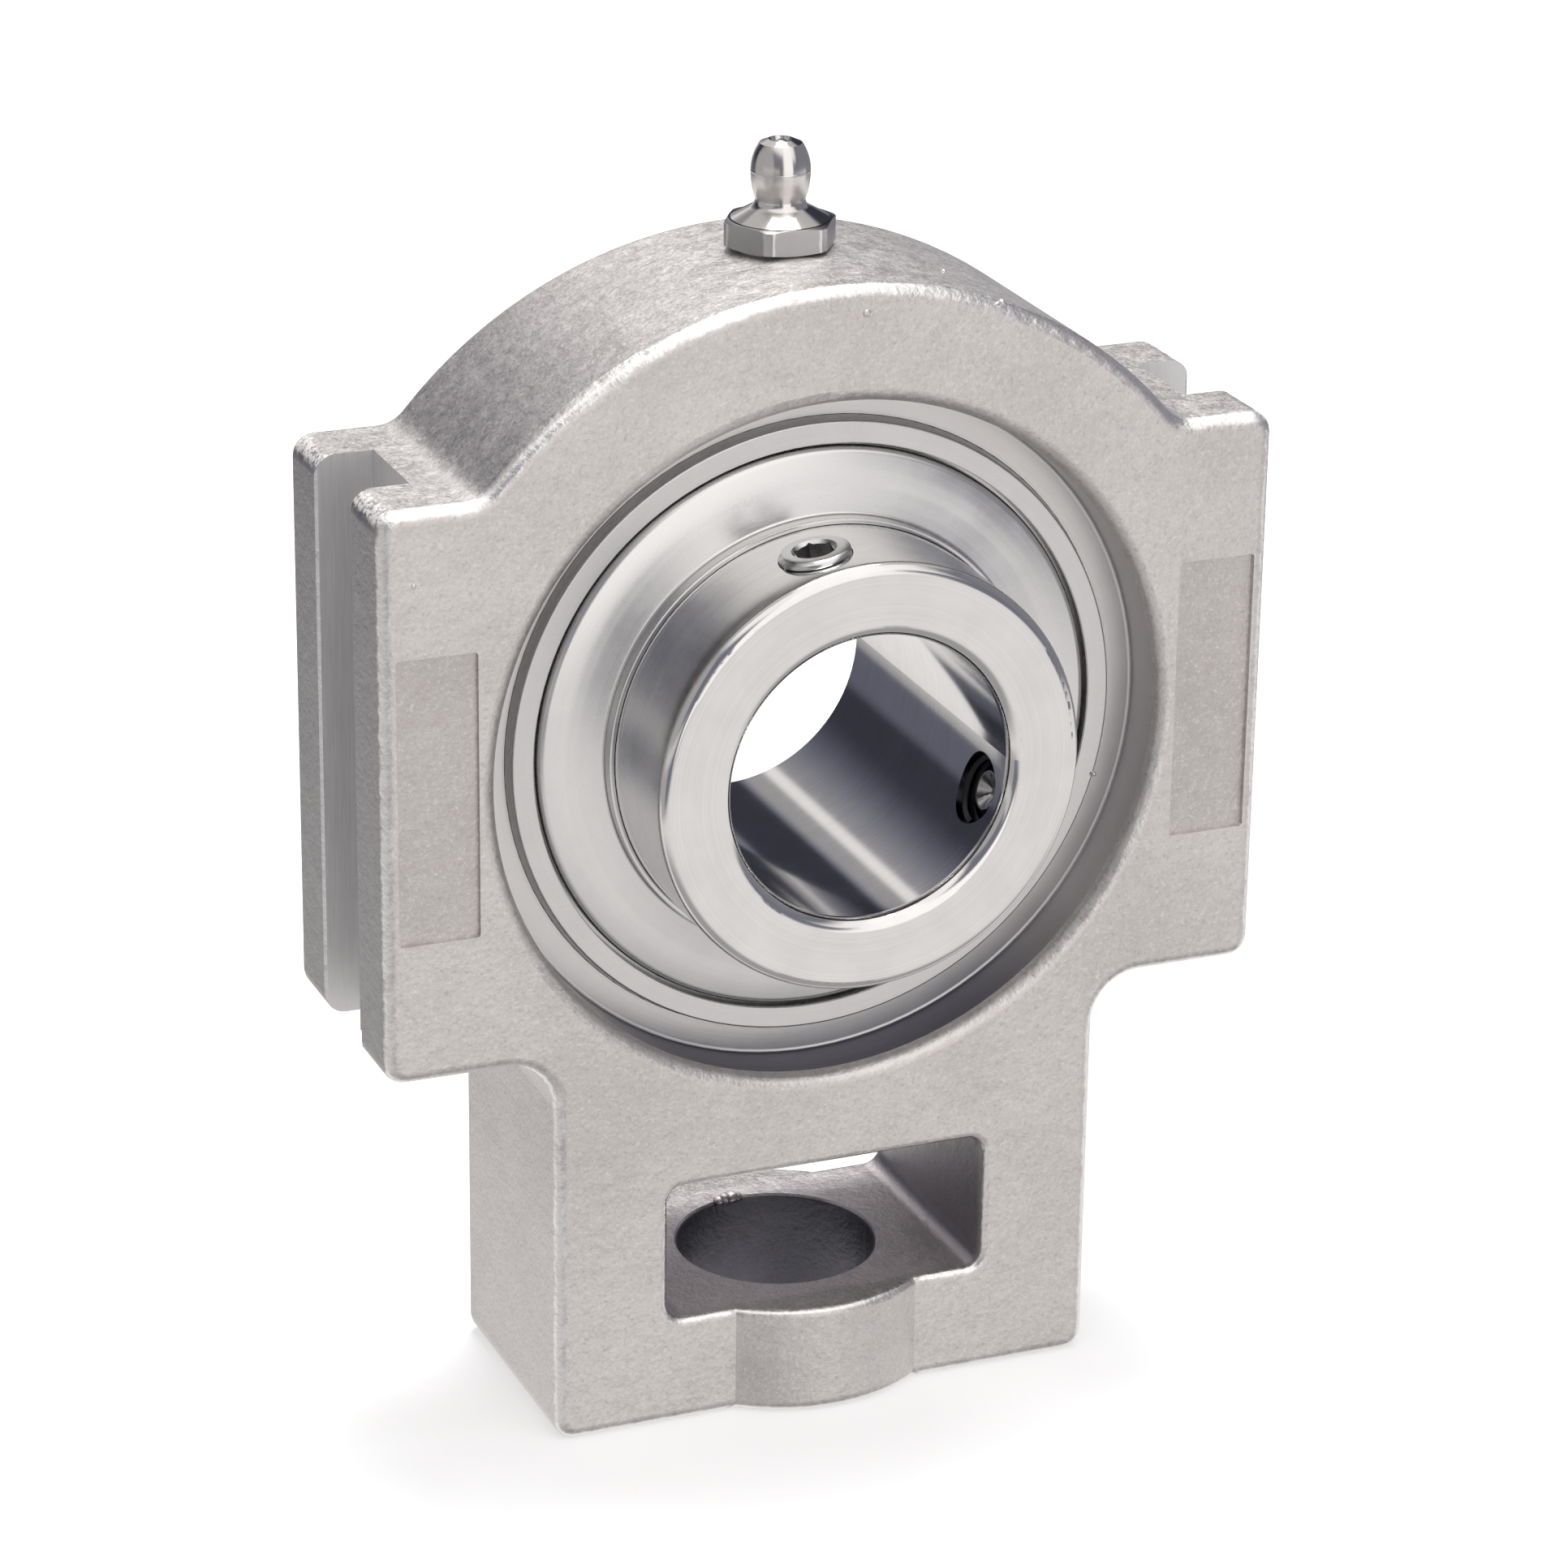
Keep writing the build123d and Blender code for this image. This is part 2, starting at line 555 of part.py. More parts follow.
def grease_fitting_body():
    """Turned grease fitting: shank, hexagon, flared neck and head with the ball seat."""
    path = Polyline(
        (0, CROWN_HEIGHT),
        (0, -FITTING_SHANK_LENGTH),
        (FITTING_SHANK_RADIUS - SHANK_EDGE, -FITTING_SHANK_LENGTH),
        (FITTING_SHANK_RADIUS, SHANK_EDGE - FITTING_SHANK_LENGTH),
        (FITTING_SHANK_RADIUS, FOOT_HEIGHT),
        (FOOT_RADIUS, FOOT_HEIGHT),
    )
    path += Line((FOOT_RADIUS, FOOT_HEIGHT), (FLARE_RADIUS, FLARE_HEIGHT))
    path += TangentArc((NECK_RADIUS, NECK_HEIGHT), (FLARE_RADIUS, FLARE_HEIGHT), tangent=(0, -1))
    path += TangentArc((HEAD_RADIUS, HEAD_HEIGHT), (NECK_RADIUS, NECK_HEIGHT), tangent=(0, -1))
    path += TangentArc((HEAD_RADIUS, HEAD_HEIGHT), (RIM_RADIUS, RIM_HEIGHT), tangent=(0, 1))
    path += Polyline((RIM_RADIUS, RIM_HEIGHT), (CROWN_RADIUS, CROWN_HEIGHT), (0, CROWN_HEIGHT))
    body = Rot(90, 0, 0) * turned(make_face(path))
    hexagon = extrude(RegularPolygon(HEX_ACROSS / 2, 6, major_radius=False, rotation=HEX_TURN), HEX_HEIGHT)
    blank = Polyline(
        (0, 0),
        (HEX_BEVEL_RADIUS, 0),
        (HEX_CORNER_RADIUS, HEX_BEVEL_HEIGHT),
        (HEX_CORNER_RADIUS, HEX_HEIGHT - HEX_BEVEL_HEIGHT),
        (HEX_BEVEL_RADIUS, HEX_HEIGHT),
        (0, HEX_HEIGHT),
        close=True,
    )
    body += hexagon & (Rot(90, 0, 0) * turned(make_face(blank)))
    step = spring_bottom() - SPRING_WIRE_RADIUS
    body -= upright(FITTING_WAY_RADIUS, step, FITTING_BALL_HEIGHT)
    body -= upright(SPRING_STEP_RADIUS, -FITTING_SHANK_LENGTH - CUT_PAST, step)
    body -= Pos(0, 0, FITTING_BALL_HEIGHT) * Sphere(FITTING_SEAT_RADIUS)
    funnel = CROWN_HEIGHT - MOUTH_HEIGHT
    body -= Pos(0, 0, MOUTH_HEIGHT + funnel / 2) * Cone(MOUTH_RADIUS, FITTING_SEAT_RADIUS, funnel)
    return fitting_place() * body


def grease_fitting_ball():
    """Check ball that closes the mouth of the fitting."""
    return fitting_place(FITTING_BALL_HEIGHT) * Sphere(FITTING_BALL_RADIUS)


def grease_fitting_spring():
    """Spring that presses the check ball against its seat."""
    path = Helix(SPRING_PITCH, SPRING_TURNS * SPRING_PITCH, SPRING_RADIUS)
    wire = Plane(origin=path @ 0, z_dir=path % 0) * Circle(SPRING_WIRE_RADIUS)
    return fitting_place(spring_bottom()) * sweep(wire, path=path)


# All pieces, one file each

def pieces():
    """Every piece of the unit under the name it is filed by."""
    found = {
        "housing": housing(),
        "outer_ring": outer_ring(),
        "inner_ring": inner_ring(),
        "cage_front_half": front_copy(cage_rear_half()),
        "cage_rear_half": cage_rear_half(),
        "cage_rivets": cage_rivets(),
        "front_seal_plate": front_copy(rear_seal_plate()),
        "front_seal_rubber": front_copy(rear_seal_rubber()),
        "rear_seal_plate": rear_seal_plate(),
        "rear_seal_rubber": rear_seal_rubber(),
        "front_flinger": front_copy(rear_flinger()),
        "rear_flinger": rear_flinger(),
        "grease_fitting_body": grease_fitting_body(),
        "grease_fitting_ball": grease_fitting_ball(),
        "grease_fitting_spring": grease_fitting_spring(),
    }
    for number in range(BALL_COUNT):
        found[f"ball_{number + 1}"] = ball(number)
    for number, angle in enumerate(SCREW_ANGLES):
        found[f"set_screw_{number + 1}"] = set_screw(angle)
    return found


os.makedirs("parts", exist_ok=True)
for name, shape in pieces().items():
    export_step(shape, f"parts/{name}.step")
    print(name, round(shape.volume, 2), "mm3")
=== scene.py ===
# %% [markdown]
# # Take-up bearing unit
# A cast stainless housing slides on two rails and carries an insert ball bearing with a
# set screw collar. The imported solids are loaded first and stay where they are. The script
# gives every piece a procedural finish and remakes the few that need more than the solid
# has: the casting's skin, the pressed flingers, the threaded set screws and the spring.

# %% Load the solids
import math
import bmesh
import bpy
from mathutils import Matrix, Vector


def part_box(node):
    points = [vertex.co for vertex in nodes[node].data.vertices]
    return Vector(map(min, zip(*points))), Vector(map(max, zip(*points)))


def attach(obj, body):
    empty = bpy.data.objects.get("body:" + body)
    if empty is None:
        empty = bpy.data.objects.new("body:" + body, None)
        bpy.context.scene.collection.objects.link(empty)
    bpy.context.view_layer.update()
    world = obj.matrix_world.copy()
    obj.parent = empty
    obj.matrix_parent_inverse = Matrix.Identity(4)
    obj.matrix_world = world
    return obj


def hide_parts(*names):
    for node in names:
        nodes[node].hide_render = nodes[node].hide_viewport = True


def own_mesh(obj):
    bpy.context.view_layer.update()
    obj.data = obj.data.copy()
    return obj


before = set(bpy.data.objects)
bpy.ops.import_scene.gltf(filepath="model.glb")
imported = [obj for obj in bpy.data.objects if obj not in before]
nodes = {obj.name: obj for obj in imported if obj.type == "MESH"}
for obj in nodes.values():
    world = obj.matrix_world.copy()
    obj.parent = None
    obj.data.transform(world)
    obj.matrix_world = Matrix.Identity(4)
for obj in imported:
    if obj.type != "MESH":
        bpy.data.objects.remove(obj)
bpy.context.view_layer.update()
print("solids loaded:", len(nodes))

# %% [markdown]
# ## Driving sizes
# The new pieces and the finishes have to sit on the solids, so the sizes that several
# steps share are read from the solids' own boxes or repeated from the same drawing. The
# shaft lies along Y, the collar faces -Y and the grease fitting stands on top, at +Z.

# %% Sizes that several steps share
MM = 0.001
FACE_Y = 15 * MM
END_BAR_TOP = -65.3 * MM
ADJUSTER_HOLE_RADIUS = 11.2 * MM
SCREW_Y = -18.9 * MM
SCREW_ANGLES = (math.radians(-10.5), math.radians(109.5))
floor_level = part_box("housing")[0].z
print("the housing stands at this height in mm:", round(floor_level / MM, 3))


# %% [markdown]
# ## Working on a mesh by hand, in code
# Operators act on whatever is selected, so each piece is opened alone with nothing
# selected, and its faces are then picked by their place or by the way they face.

# %% Selection helpers
def deselect():
    bpy.ops.object.select_all(action="DESELECT")


def make_active(piece):
    deselect()
    piece.select_set(True)
    bpy.context.view_layer.objects.active = piece


def open_piece(piece):
    make_active(piece)
    bpy.ops.object.mode_set(mode="EDIT")
    bpy.ops.mesh.select_all(action="DESELECT")


def close_piece():
    bpy.ops.object.mode_set(mode="OBJECT")


def pick_faces(piece, test):
    """Selects the faces whose middle and normal pass a test, and counts them."""
    bpy.ops.mesh.select_mode(type="FACE")
    shape = bmesh.from_edit_mesh(piece.data)
    found = 0
    for face in shape.faces:
        chosen = bool(test(face.calc_center_median(), face.normal))
        face.select_set(chosen)
        found += chosen
    shape.select_flush(True)
    bmesh.update_edit_mesh(piece.data)
    return found


print("selection helpers ready")


# %% Helpers for whole pieces
WELD = 0.001 * MM


def apply_modifier(piece, kind, **settings):
    make_active(piece)
    modifier = piece.modifiers.new(kind.title(), kind)
    for key, value in settings.items():
        setattr(modifier, key, value)
    bpy.ops.object.modifier_apply(modifier=modifier.name)


def settle(piece):
    """The place goes into the mesh, and the object comes to rest at the origin."""
    make_active(piece)
    bpy.ops.object.transform_apply(location=True, rotation=True, scale=True)


def smooth(piece, angle):
    """Shades a piece smooth but for the edges that are sharper than an angle."""
    make_active(piece)
    bpy.ops.object.shade_smooth_by_angle(angle=angle)


def own_copy(piece, name):
    twin = bpy.data.objects.new(name, piece.data.copy())
    twin.data.name = name
    bpy.context.scene.collection.objects.link(twin)
    return twin


def merged_copy(node, name, **settings):
    """A copy of a solid whose loose triangles are joined into one closed mesh."""
    twin = own_copy(nodes[node], name)
    open_piece(twin)
    bpy.ops.mesh.select_all(action="SELECT")
    bpy.ops.mesh.remove_doubles(threshold=WELD, **settings)
    close_piece()
    bpy.ops.mesh.customdata_custom_splitnormals_clear()
    return twin


print("piece helpers ready, points closer than this many mm are merged:", WELD / MM)


# %% [markdown]
# ## Shader sums as plain expressions
# A Signal is one value in a material. Python's own operators add the Math nodes, so a
# mask reads as it would on paper, and any other node comes from one method.

# %% The Signal class
class Signal:
    """One value socket that can be used in a sum."""

    def __init__(self, sheet, socket):
        self.sheet = sheet
        self.socket = socket

    def math(self, operation, first, second=0.0):
        return self.sheet.node("ShaderNodeMath", {"operation": operation}, {0: first, 1: second})

    def __add__(self, other):
        return self.math("ADD", self, other)

    def __sub__(self, other):
        return self.math("SUBTRACT", self, other)

    def __mul__(self, other):
        return self.math("MULTIPLY", self, other)

    def __pow__(self, other):
        return self.math("POWER", self, other)

    def __radd__(self, other):
        return self.math("ADD", other, self)

    def __rsub__(self, other):
        return self.math("SUBTRACT", other, self)

    def __rmul__(self, other):
        return self.math("MULTIPLY", other, self)

    def __abs__(self):
        return self.math("ABSOLUTE", self)


print("operators of a signal:", "+ - * ** abs")


# %% The node method and the nodes that are used often
class NodeSheet:
    """The nodes of one material or of the world."""

    def __init__(self, tree):
        self.tree = tree

    def node(self, kind, settings, inputs, output=0):
        made = self.tree.nodes.new(kind)
        for key, value in settings.items():
            setattr(made, key, value)
        for key, value in inputs.items():
            if isinstance(value, Signal):
                self.tree.links.new(value.socket, made.inputs[key])
            else:
                made.inputs[key].default_value = value
        return Signal(self, made.outputs[output])

    def place(self):
        return self.node("ShaderNodeTexCoord", {}, {}, "Object")

    def facing(self):
        """Direction of the surface, along the piece's own axes."""
        return self.node("ShaderNodeTexCoord", {}, {}, "Normal")

    def axes(self, vector):
        split = self.node("ShaderNodeSeparateXYZ", {}, {0: vector})
        outputs = split.socket.node.outputs
        return [Signal(self, outputs[axis]) for axis in range(3)]

    def join(self, x, y, z):
        return self.node("ShaderNodeCombineXYZ", {}, {0: x, 1: y, 2: z})

    def vector(self, operation, first, second, output=0):
        settings = {"operation": operation}
        return self.node("ShaderNodeVectorMath", settings, {0: first, 1: second}, output)

    def scaled(self, vector, factor):
        settings = {"operation": "SCALE"}
        return self.node("ShaderNodeVectorMath", settings, {0: vector, "Scale": factor})

    def length(self, vector):
        return self.node("ShaderNodeVectorMath", {"operation": "LENGTH"}, {0: vector}, "Value")

    def noise(self, place, grain, detail, rough):
        """Noise between 0 and 1 whose grain is given in metres."""
        settings = {"noise_dimensions": "3D"}
        inputs = {"Vector": place, "Scale": 1 / grain, "Detail": detail, "Roughness": rough}
        return self.node("ShaderNodeTexNoise", settings, inputs)

    def step(self, value, start, end):
        """Smooth rise from 0 to 1 between two values."""
        settings = {"interpolation_type": "SMOOTHSTEP"}
        inputs = {0: value, 1: start, 2: end, 3: 0.0, 4: 1.0}
        return self.node("ShaderNodeMapRange", settings, inputs)

    def blend(self, mask, first, second):
        """Colour that goes from first to second where the mask is 1."""
        first, second = (
            colour if isinstance(colour, Signal) else (*colour, 1.0) for colour in (first, second)
        )
        inputs = {0: mask, 6: first, 7: second}
        return self.node("ShaderNodeMix", {"data_type": "RGBA"}, inputs, 2)

    def bump(self, height, depth, strength=1.0, under=None):
        """Bump whose height runs from 0 to depth, in metres."""
        inputs = {"Height": height, "Distance": depth, "Strength": strength}
        if under is not None:
            inputs["Normal"] = under
        return self.node("ShaderNodeBump", {}, inputs)


print("node helpers ready")


# %% A finish and the way a piece puts it on
class Finish(NodeSheet):
    """A material and the nodes that make its surface."""

    def __init__(self, name, **constants):
        self.material = bpy.data.materials.new(name)
        self.material.use_nodes = True
        super().__init__(self.material.node_tree)
        self.shader = self.tree.nodes["Principled BSDF"]
        for socket, value in constants.items():
            self.shader.inputs[socket.replace("_", " ")].default_value = value

    def feed(self, socket, value):
        self.tree.links.new(value.socket, self.shader.inputs[socket])


def dress(piece, *finishes):
    """Puts finishes on a piece in place of what it had."""
    piece.data.materials.clear()
    for finish in finishes:
        piece.data.materials.append(finish.material)


print("finishes can be mixed and put on")


# %% [markdown]
# ## The cast skin
# Investment cast stainless comes out of its shell with a fine sandy skin. An image of a
# real casting could give that, but noise stays sharp at every distance and has no seams.
# Five sizes of it are mixed: sand and grain for the skin, dimples and swells for its
# relief and a slow stain for its colour.

# %% Noise of the cast skin
SAND = 0.28 * MM
GRAIN = 0.55 * MM
DIMPLE = 1.7 * MM
SWELL = 9 * MM
STAIN = 20 * MM


def cast_noise(finish, spot):
    """The skin's five sizes of unevenness, from sand grains to slow stains."""
    sand = finish.noise(spot, SAND, 2.0, 0.6)
    grain = finish.noise(spot, GRAIN, 3.0, 0.6)
    dimple = finish.noise(spot, DIMPLE, 2.0, 0.5)
    swell = finish.noise(spot, SWELL, 2.0, 0.5)
    stain = finish.noise(spot, STAIN, 4.0, 0.6)
    return sand, grain, dimple, swell, stain


print("grains of the cast skin in mm:", [size / MM for size in (SAND, GRAIN, DIMPLE)])


# %% [markdown]
# Tumbling wears the rounded edges bright. They are found by how far the surface leans
# from the flat faces, so they brighten exactly where the roundings are. The boss and the
# adjuster hole are round all over and would look like one large edge, so they are found
# by their distance from the hole's own axis, Z, and left out.

# %% Where the casting is worn
WALL = 0.1 * MM
WALL_END = 0.25 * MM
BOSS_RADIUS = 18.5 * MM
BORED_RIM = 39.6 * MM
RAIL_CORNER = 43.5 * MM
RAIL_CORNER_END = RAIL_CORNER + MM
EDGE_WEAR = (0.45, 0.95)
CORNER_WEAR = (0.5, 0.95)
PATCHES = (0.4, 0.5)


def round_walls(finish, x, y, z):
    """1 on the boss's round side, and 1 on the wall of the adjuster hole."""
    from_hole = (x * x + y * y) ** 0.5
    in_end_bar = finish.step(z, END_BAR_TOP, END_BAR_TOP - WALL)
    on_boss = finish.step(abs(from_hole - BOSS_RADIUS), WALL_END, WALL)
    in_hole = finish.step(from_hole, ADJUSTER_HOLE_RADIUS + WALL_END, ADJUSTER_HOLE_RADIUS + WALL)
    return on_boss * in_end_bar, in_hole * in_end_bar


def worn_edges(finish, x, z, lean, ragged):
    """1 on the roundings of the front and rear faces, less on the bore's machined rim."""
    lean_x, lean_y, lean_z = lean
    sideways = (lean_x * lean_x + lean_z * lean_z) ** 0.5
    bored_rim = finish.step((x * x + z * z) ** 0.5, BORED_RIM + WALL_END, BORED_RIM)
    leaning = abs(lean_y) * sideways * 2 + ragged
    return finish.step(leaning, *EDGE_WEAR) * (1 - bored_rim * 0.7)


def worn_corners(finish, x, lean, ragged, patches):
    """1 in patches on the rounded ends of the rails."""
    lean_x, lean_y, lean_z = lean
    corner = finish.step(abs(lean_x * lean_z) * 2 + ragged, *CORNER_WEAR)
    corner = corner * finish.step(abs(x), RAIL_CORNER, RAIL_CORNER_END)
    return corner * finish.step(patches, *PATCHES)


print("wear on the rails starts this far out in mm:", RAIL_CORNER / MM)


# %% [markdown]
# Painted shade darkens the walls of the window, and painted light brightens its floor. The
# masks compare the place with the window's own sizes.

# %% Where shade and light are painted in the window
REACH = 0.5 * MM
WINDOW_HALF_WIDTH = 18.9 * MM
WINDOW_ROOF = -49.2 * MM
WELL_INSIDE = FACE_Y - 4 * REACH
FLOOR_LEAN = (0.5, 0.9)


def window_shade_and_light(finish, place, lean_z, worn):
    """1 on the walls of the window, where shade is painted, and 1 on its floor, where light is
    painted.
    """
    x, y, z = place
    in_window = finish.step(abs(x), WINDOW_HALF_WIDTH + REACH, WINDOW_HALF_WIDTH - WALL)
    in_window = in_window * finish.step(z, END_BAR_TOP - REACH, END_BAR_TOP + WALL)
    in_window = in_window * finish.step(z, WINDOW_ROOF + REACH, WINDOW_ROOF - WALL)
    painted_inside = in_window * finish.step(abs(y), FACE_Y - WALL, WELL_INSIDE) * (1 - worn * 0.7)
    on_floor = finish.step(lean_z, *FLOOR_LEAN)
    return painted_inside * (1 - on_floor), painted_inside * on_floor


print("half of the window's width in mm:", round(WINDOW_HALF_WIDTH / MM, 1))


# %% [markdown]
# The skin is then painted in layers, each one a colour and a mask that says how much of
# it shows, and its relief is built from three bumps that lie on one another.

# %% Finish: cast stainless in three grades
RAIL_SIDE = 50.6 * MM
SWELL_DEPTH, DIMPLE_DEPTH, GRAIN_DEPTH = 0.3 * MM, 0.1 * MM, 0.07 * MM
PALE_GRAIN = (0.93, 0.92, 0.915)
DARK_GRAIN = (0.42, 0.41, 0.42)
RAIL_SIDE_SHADE = (0.28, 0.275, 0.285)
WORN_METAL = (0.93, 0.925, 0.92)
BRIGHT_CORNER = (0.97, 0.96, 0.955)
WINDOW_WALL_SHADE = (0.24, 0.235, 0.26)
WINDOW_FLOOR_LIGHT = (0.95, 0.88, 0.89)
ADJUSTER_HOLE_SHADE = (0.1, 0.1, 0.125)


def cast_skin(name, light, dark, rough, wear=0.65):
    """Cast surface between two colours, worn bright where it is rounded."""
    finish = Finish(name, Metallic=1.0)
    spot = finish.place()
    place = finish.axes(spot)
    x, y, z = place
    lean = finish.axes(finish.facing())
    sand, grain, dimple, swell, stain = cast_noise(finish, spot)
    ragged = (dimple - 0.5) * 0.9 + (grain - 0.5) * 0.7
    on_boss, in_hole = round_walls(finish, x, y, z)
    worn = worn_edges(finish, x, z, lean, ragged) * (1 - on_boss) * (1 - in_hole)
    corner = worn_corners(finish, x, lean, ragged, grain * 0.6 + sand * 0.4)
    window_wall_shade, window_floor_light = window_shade_and_light(finish, place, lean[2], worn)
    tone = finish.step(stain * 0.6 + dimple * 0.4, 0.35, 0.65)
    speckle = (sand - 0.5) * 0.9 + (grain - 0.5) * 0.8
    # Painted shade: the outer side faces of the rails are darkened.
    shaded_rail_side = finish.step(abs(x), RAIL_SIDE, RAIL_SIDE + WALL_END)
    layers = (
        # where it lies, how much of it shows, its colour
        (finish.step(speckle, 0.02, 0.3), 0.55, PALE_GRAIN),
        (finish.step(speckle, -0.02, -0.3), 0.5, DARK_GRAIN),
        # painted shade on the rails' side faces
        (shaded_rail_side, 0.7, RAIL_SIDE_SHADE),
        (worn, wear, WORN_METAL),
        (corner, wear, BRIGHT_CORNER),
        # painted shade on the window's walls, then painted light on its floor
        (window_wall_shade, 0.75, WINDOW_WALL_SHADE),
        (window_floor_light, 0.7, WINDOW_FLOOR_LIGHT),
        # painted shade on the wall of the adjuster hole
        (in_hole, 0.92, ADJUSTER_HOLE_SHADE),
    )
    skin = finish.blend(tone, dark, light)
    for mask, share, colour in layers:
        skin = finish.blend(mask * share, skin, colour)
    finish.feed("Base Color", skin)
    uneven = speckle * 0.2 + (dimple - 0.5) * 0.16
    finish.feed("Roughness", rough + uneven - worn * 0.16 + corner * 0.25)
    relief = finish.bump(swell, SWELL_DEPTH, 0.5)
    relief = finish.bump(dimple, DIMPLE_DEPTH, 0.8, relief)
    finish.feed("Normal", finish.bump(grain, GRAIN_DEPTH, 0.9, relief))
    return finish


cast = cast_skin("cast_stainless_skin", (0.755, 0.725, 0.705), (0.655, 0.625, 0.605), 0.46)
field_floor = cast_skin("field_floor_skin", (0.67, 0.64, 0.62), (0.57, 0.54, 0.52), 0.5)
torn_edge = cast_skin("torn_edge", (0.5, 0.48, 0.47), (0.4, 0.38, 0.37), 0.55, 0.15)
print("cast grades:", [grade.material.name for grade in (cast, field_floor, torn_edge)])

# %% [markdown]
# ## Machined surfaces of the casting
# The rail grooves are milled along their length, so they carry fine upright streaks. The
# counterbore and the seat are bored on a lathe, so their lines run round the shaft. Both
# are noise that is stretched along the tool's path.

# %% Finish: milled grooves
ACROSS_MILLING = 4
ALONG_MILLING = 0.12
milled = Finish("milled_groove", Metallic=1.0)
x, y, z = milled.axes(milled.place())
stretched = milled.join(x * ACROSS_MILLING, y * ACROSS_MILLING, z * ALONG_MILLING)
streak = milled.noise(stretched, 0.9 * MM, 3.0, 0.6)
cloud = milled.noise(milled.place(), 6 * MM, 2.0, 0.5)
milled.feed("Base Color", milled.blend(streak, (0.66, 0.655, 0.66), (0.88, 0.87, 0.87)))
milled.feed("Roughness", 0.38 + streak * 0.15 + cloud * 0.08)
milled.feed("Normal", milled.bump(streak, 0.03 * MM, 0.6))
print("milled finish nodes:", len(milled.tree.nodes))

# %% Finish: bored seat and counterbore
ACROSS_BORING = 8
SHADE_START = -20 * MM
SHADE_END = -36 * MM
SHADED_WALL = (0.16, 0.16, 0.195)
STEP_LEAN = (0.5, 0.8)
bored = Finish("bored_seat", Metallic=1.0)
x, y, z = bored.axes(bored.place())
radius = bored.length(bored.join(x, 0.0, z))
stretched = bored.join(radius * ACROSS_BORING, y * ACROSS_BORING, 0.0)
turn_line = bored.noise(stretched, 1.2 * MM, 3.0, 0.7)
cloud = bored.noise(bored.place(), 5 * MM, 3.0, 0.6)
lean_x, lean_y, lean_z = bored.axes(bored.facing())
# Painted light: the faces that look along the shaft are painted lighter than the walls.
lit_step_face = bored.blend(cloud, (0.66, 0.645, 0.64), (0.78, 0.765, 0.755))
wall_face = bored.blend(cloud, (0.58, 0.56, 0.57), (0.68, 0.66, 0.66))
wall_face = bored.blend(bored.step(z, SHADE_START, SHADE_END), wall_face, SHADED_WALL)
on_step = bored.step(abs(lean_y), *STEP_LEAN)
bored.feed("Base Color", bored.blend(on_step, wall_face, lit_step_face))
bored.feed("Roughness", 0.3 + turn_line * 0.18 + cloud * 0.08)
bored.feed("Normal", bored.bump(turn_line, 0.02 * MM, 0.7))
casting_finishes = (cast, milled, bored, field_floor)
print("finishes for the casting:", [finish.material.name for finish in casting_finishes])


# %% [markdown]
# ## The bearing steel
# The rings are turned and then ground, so fine circles catch the light. One function
# makes the finish in several grades, because the collar is polished brighter than the
# face of the outer ring. The circles are noise along the radius and along the shaft.

# %% Painted shade on the walls of the screw holes
SCREW_HOLE_RADIUS = 3.96 * MM
HOLE_SHADE_EDGE = 0.02 * MM


def shade_in_screw_holes(finish, spot):
    """1 on the walls of the two screw holes, where shade is painted, 0 everywhere else."""
    holes = []
    for angle in SCREW_ANGLES:
        out_of_collar = (math.sin(angle), 0.0, math.cos(angle))
        along = finish.vector("DOT_PRODUCT", spot, out_of_collar, "Value")
        on_axis = finish.vector("ADD", finish.scaled(out_of_collar, along), (0.0, SCREW_Y, 0.0))
        distance = finish.vector("DISTANCE", spot, on_axis, "Value")
        far, near = SCREW_HOLE_RADIUS + HOLE_SHADE_EDGE, SCREW_HOLE_RADIUS + HOLE_SHADE_EDGE / 2
        holes.append(finish.step(distance, far, near) * finish.step(along, 0.0, MM))
    return holes[0] + holes[1]


print("screw holes stand at these angles:", [round(math.degrees(a), 1) for a in SCREW_ANGLES])


# %% Finish: turned steel in several grades
SCREW_HOLE_SHADE = (0.05, 0.05, 0.06)
DULLER = 0.86
SHEEN = (0.22, 0.78)


def turned_steel(name, colour, rough, line_depth, line_width=0.35 * MM):
    finish = Finish(name, Metallic=1.0)
    spot = finish.place()
    x, y, z = finish.axes(spot)
    radius = finish.length(finish.join(x, 0.0, z))
    circles = finish.noise(finish.join(radius, y, 0.0), line_width, 4.0, 0.7)
    smear = finish.noise(spot, 4 * MM, 3.0, 0.55)
    darker = tuple(DULLER * part for part in colour)
    sheen = finish.blend(finish.step(circles * 0.55 + smear * 0.45, *SHEEN), darker, colour)
    # The walls of the screw holes are painted nearly black: painted shade.
    finish.feed("Base Color", finish.blend(shade_in_screw_holes(finish, spot), sheen, SCREW_HOLE_SHADE))
    uneven = (circles - 0.5) * rough * 0.5 + (smear - 0.5) * rough * 0.4
    finish.feed("Roughness", rough + uneven)
    finish.feed("Normal", finish.bump(circles, line_depth, 0.6))
    return finish


ring_face = turned_steel("outer_ring_steel", (0.66, 0.655, 0.65), 0.28, 0.006 * MM)
collar_steel = turned_steel("collar_steel", (0.74, 0.735, 0.73), 0.12, 0.002 * MM)
flinger_steel = turned_steel("flinger_sheet", (0.76, 0.755, 0.75), 0.27, 0.002 * MM, 0.8 * MM)
turned_grades = (ring_face, collar_steel, flinger_steel)
print("turned grades:", [grade.material.name for grade in turned_grades])


# %% [markdown]
# ## Small parts and what is inside
# The set screws are turned from bar, the cage and the seal plates are pressed from sheet,
# the balls are lapped to a mirror and the seals are black rubber. The metal ones differ
# only in their colour and in the size of their marks, so one plain function serves them.

# %% Finish: small metal parts
SMUDGED = 0.8


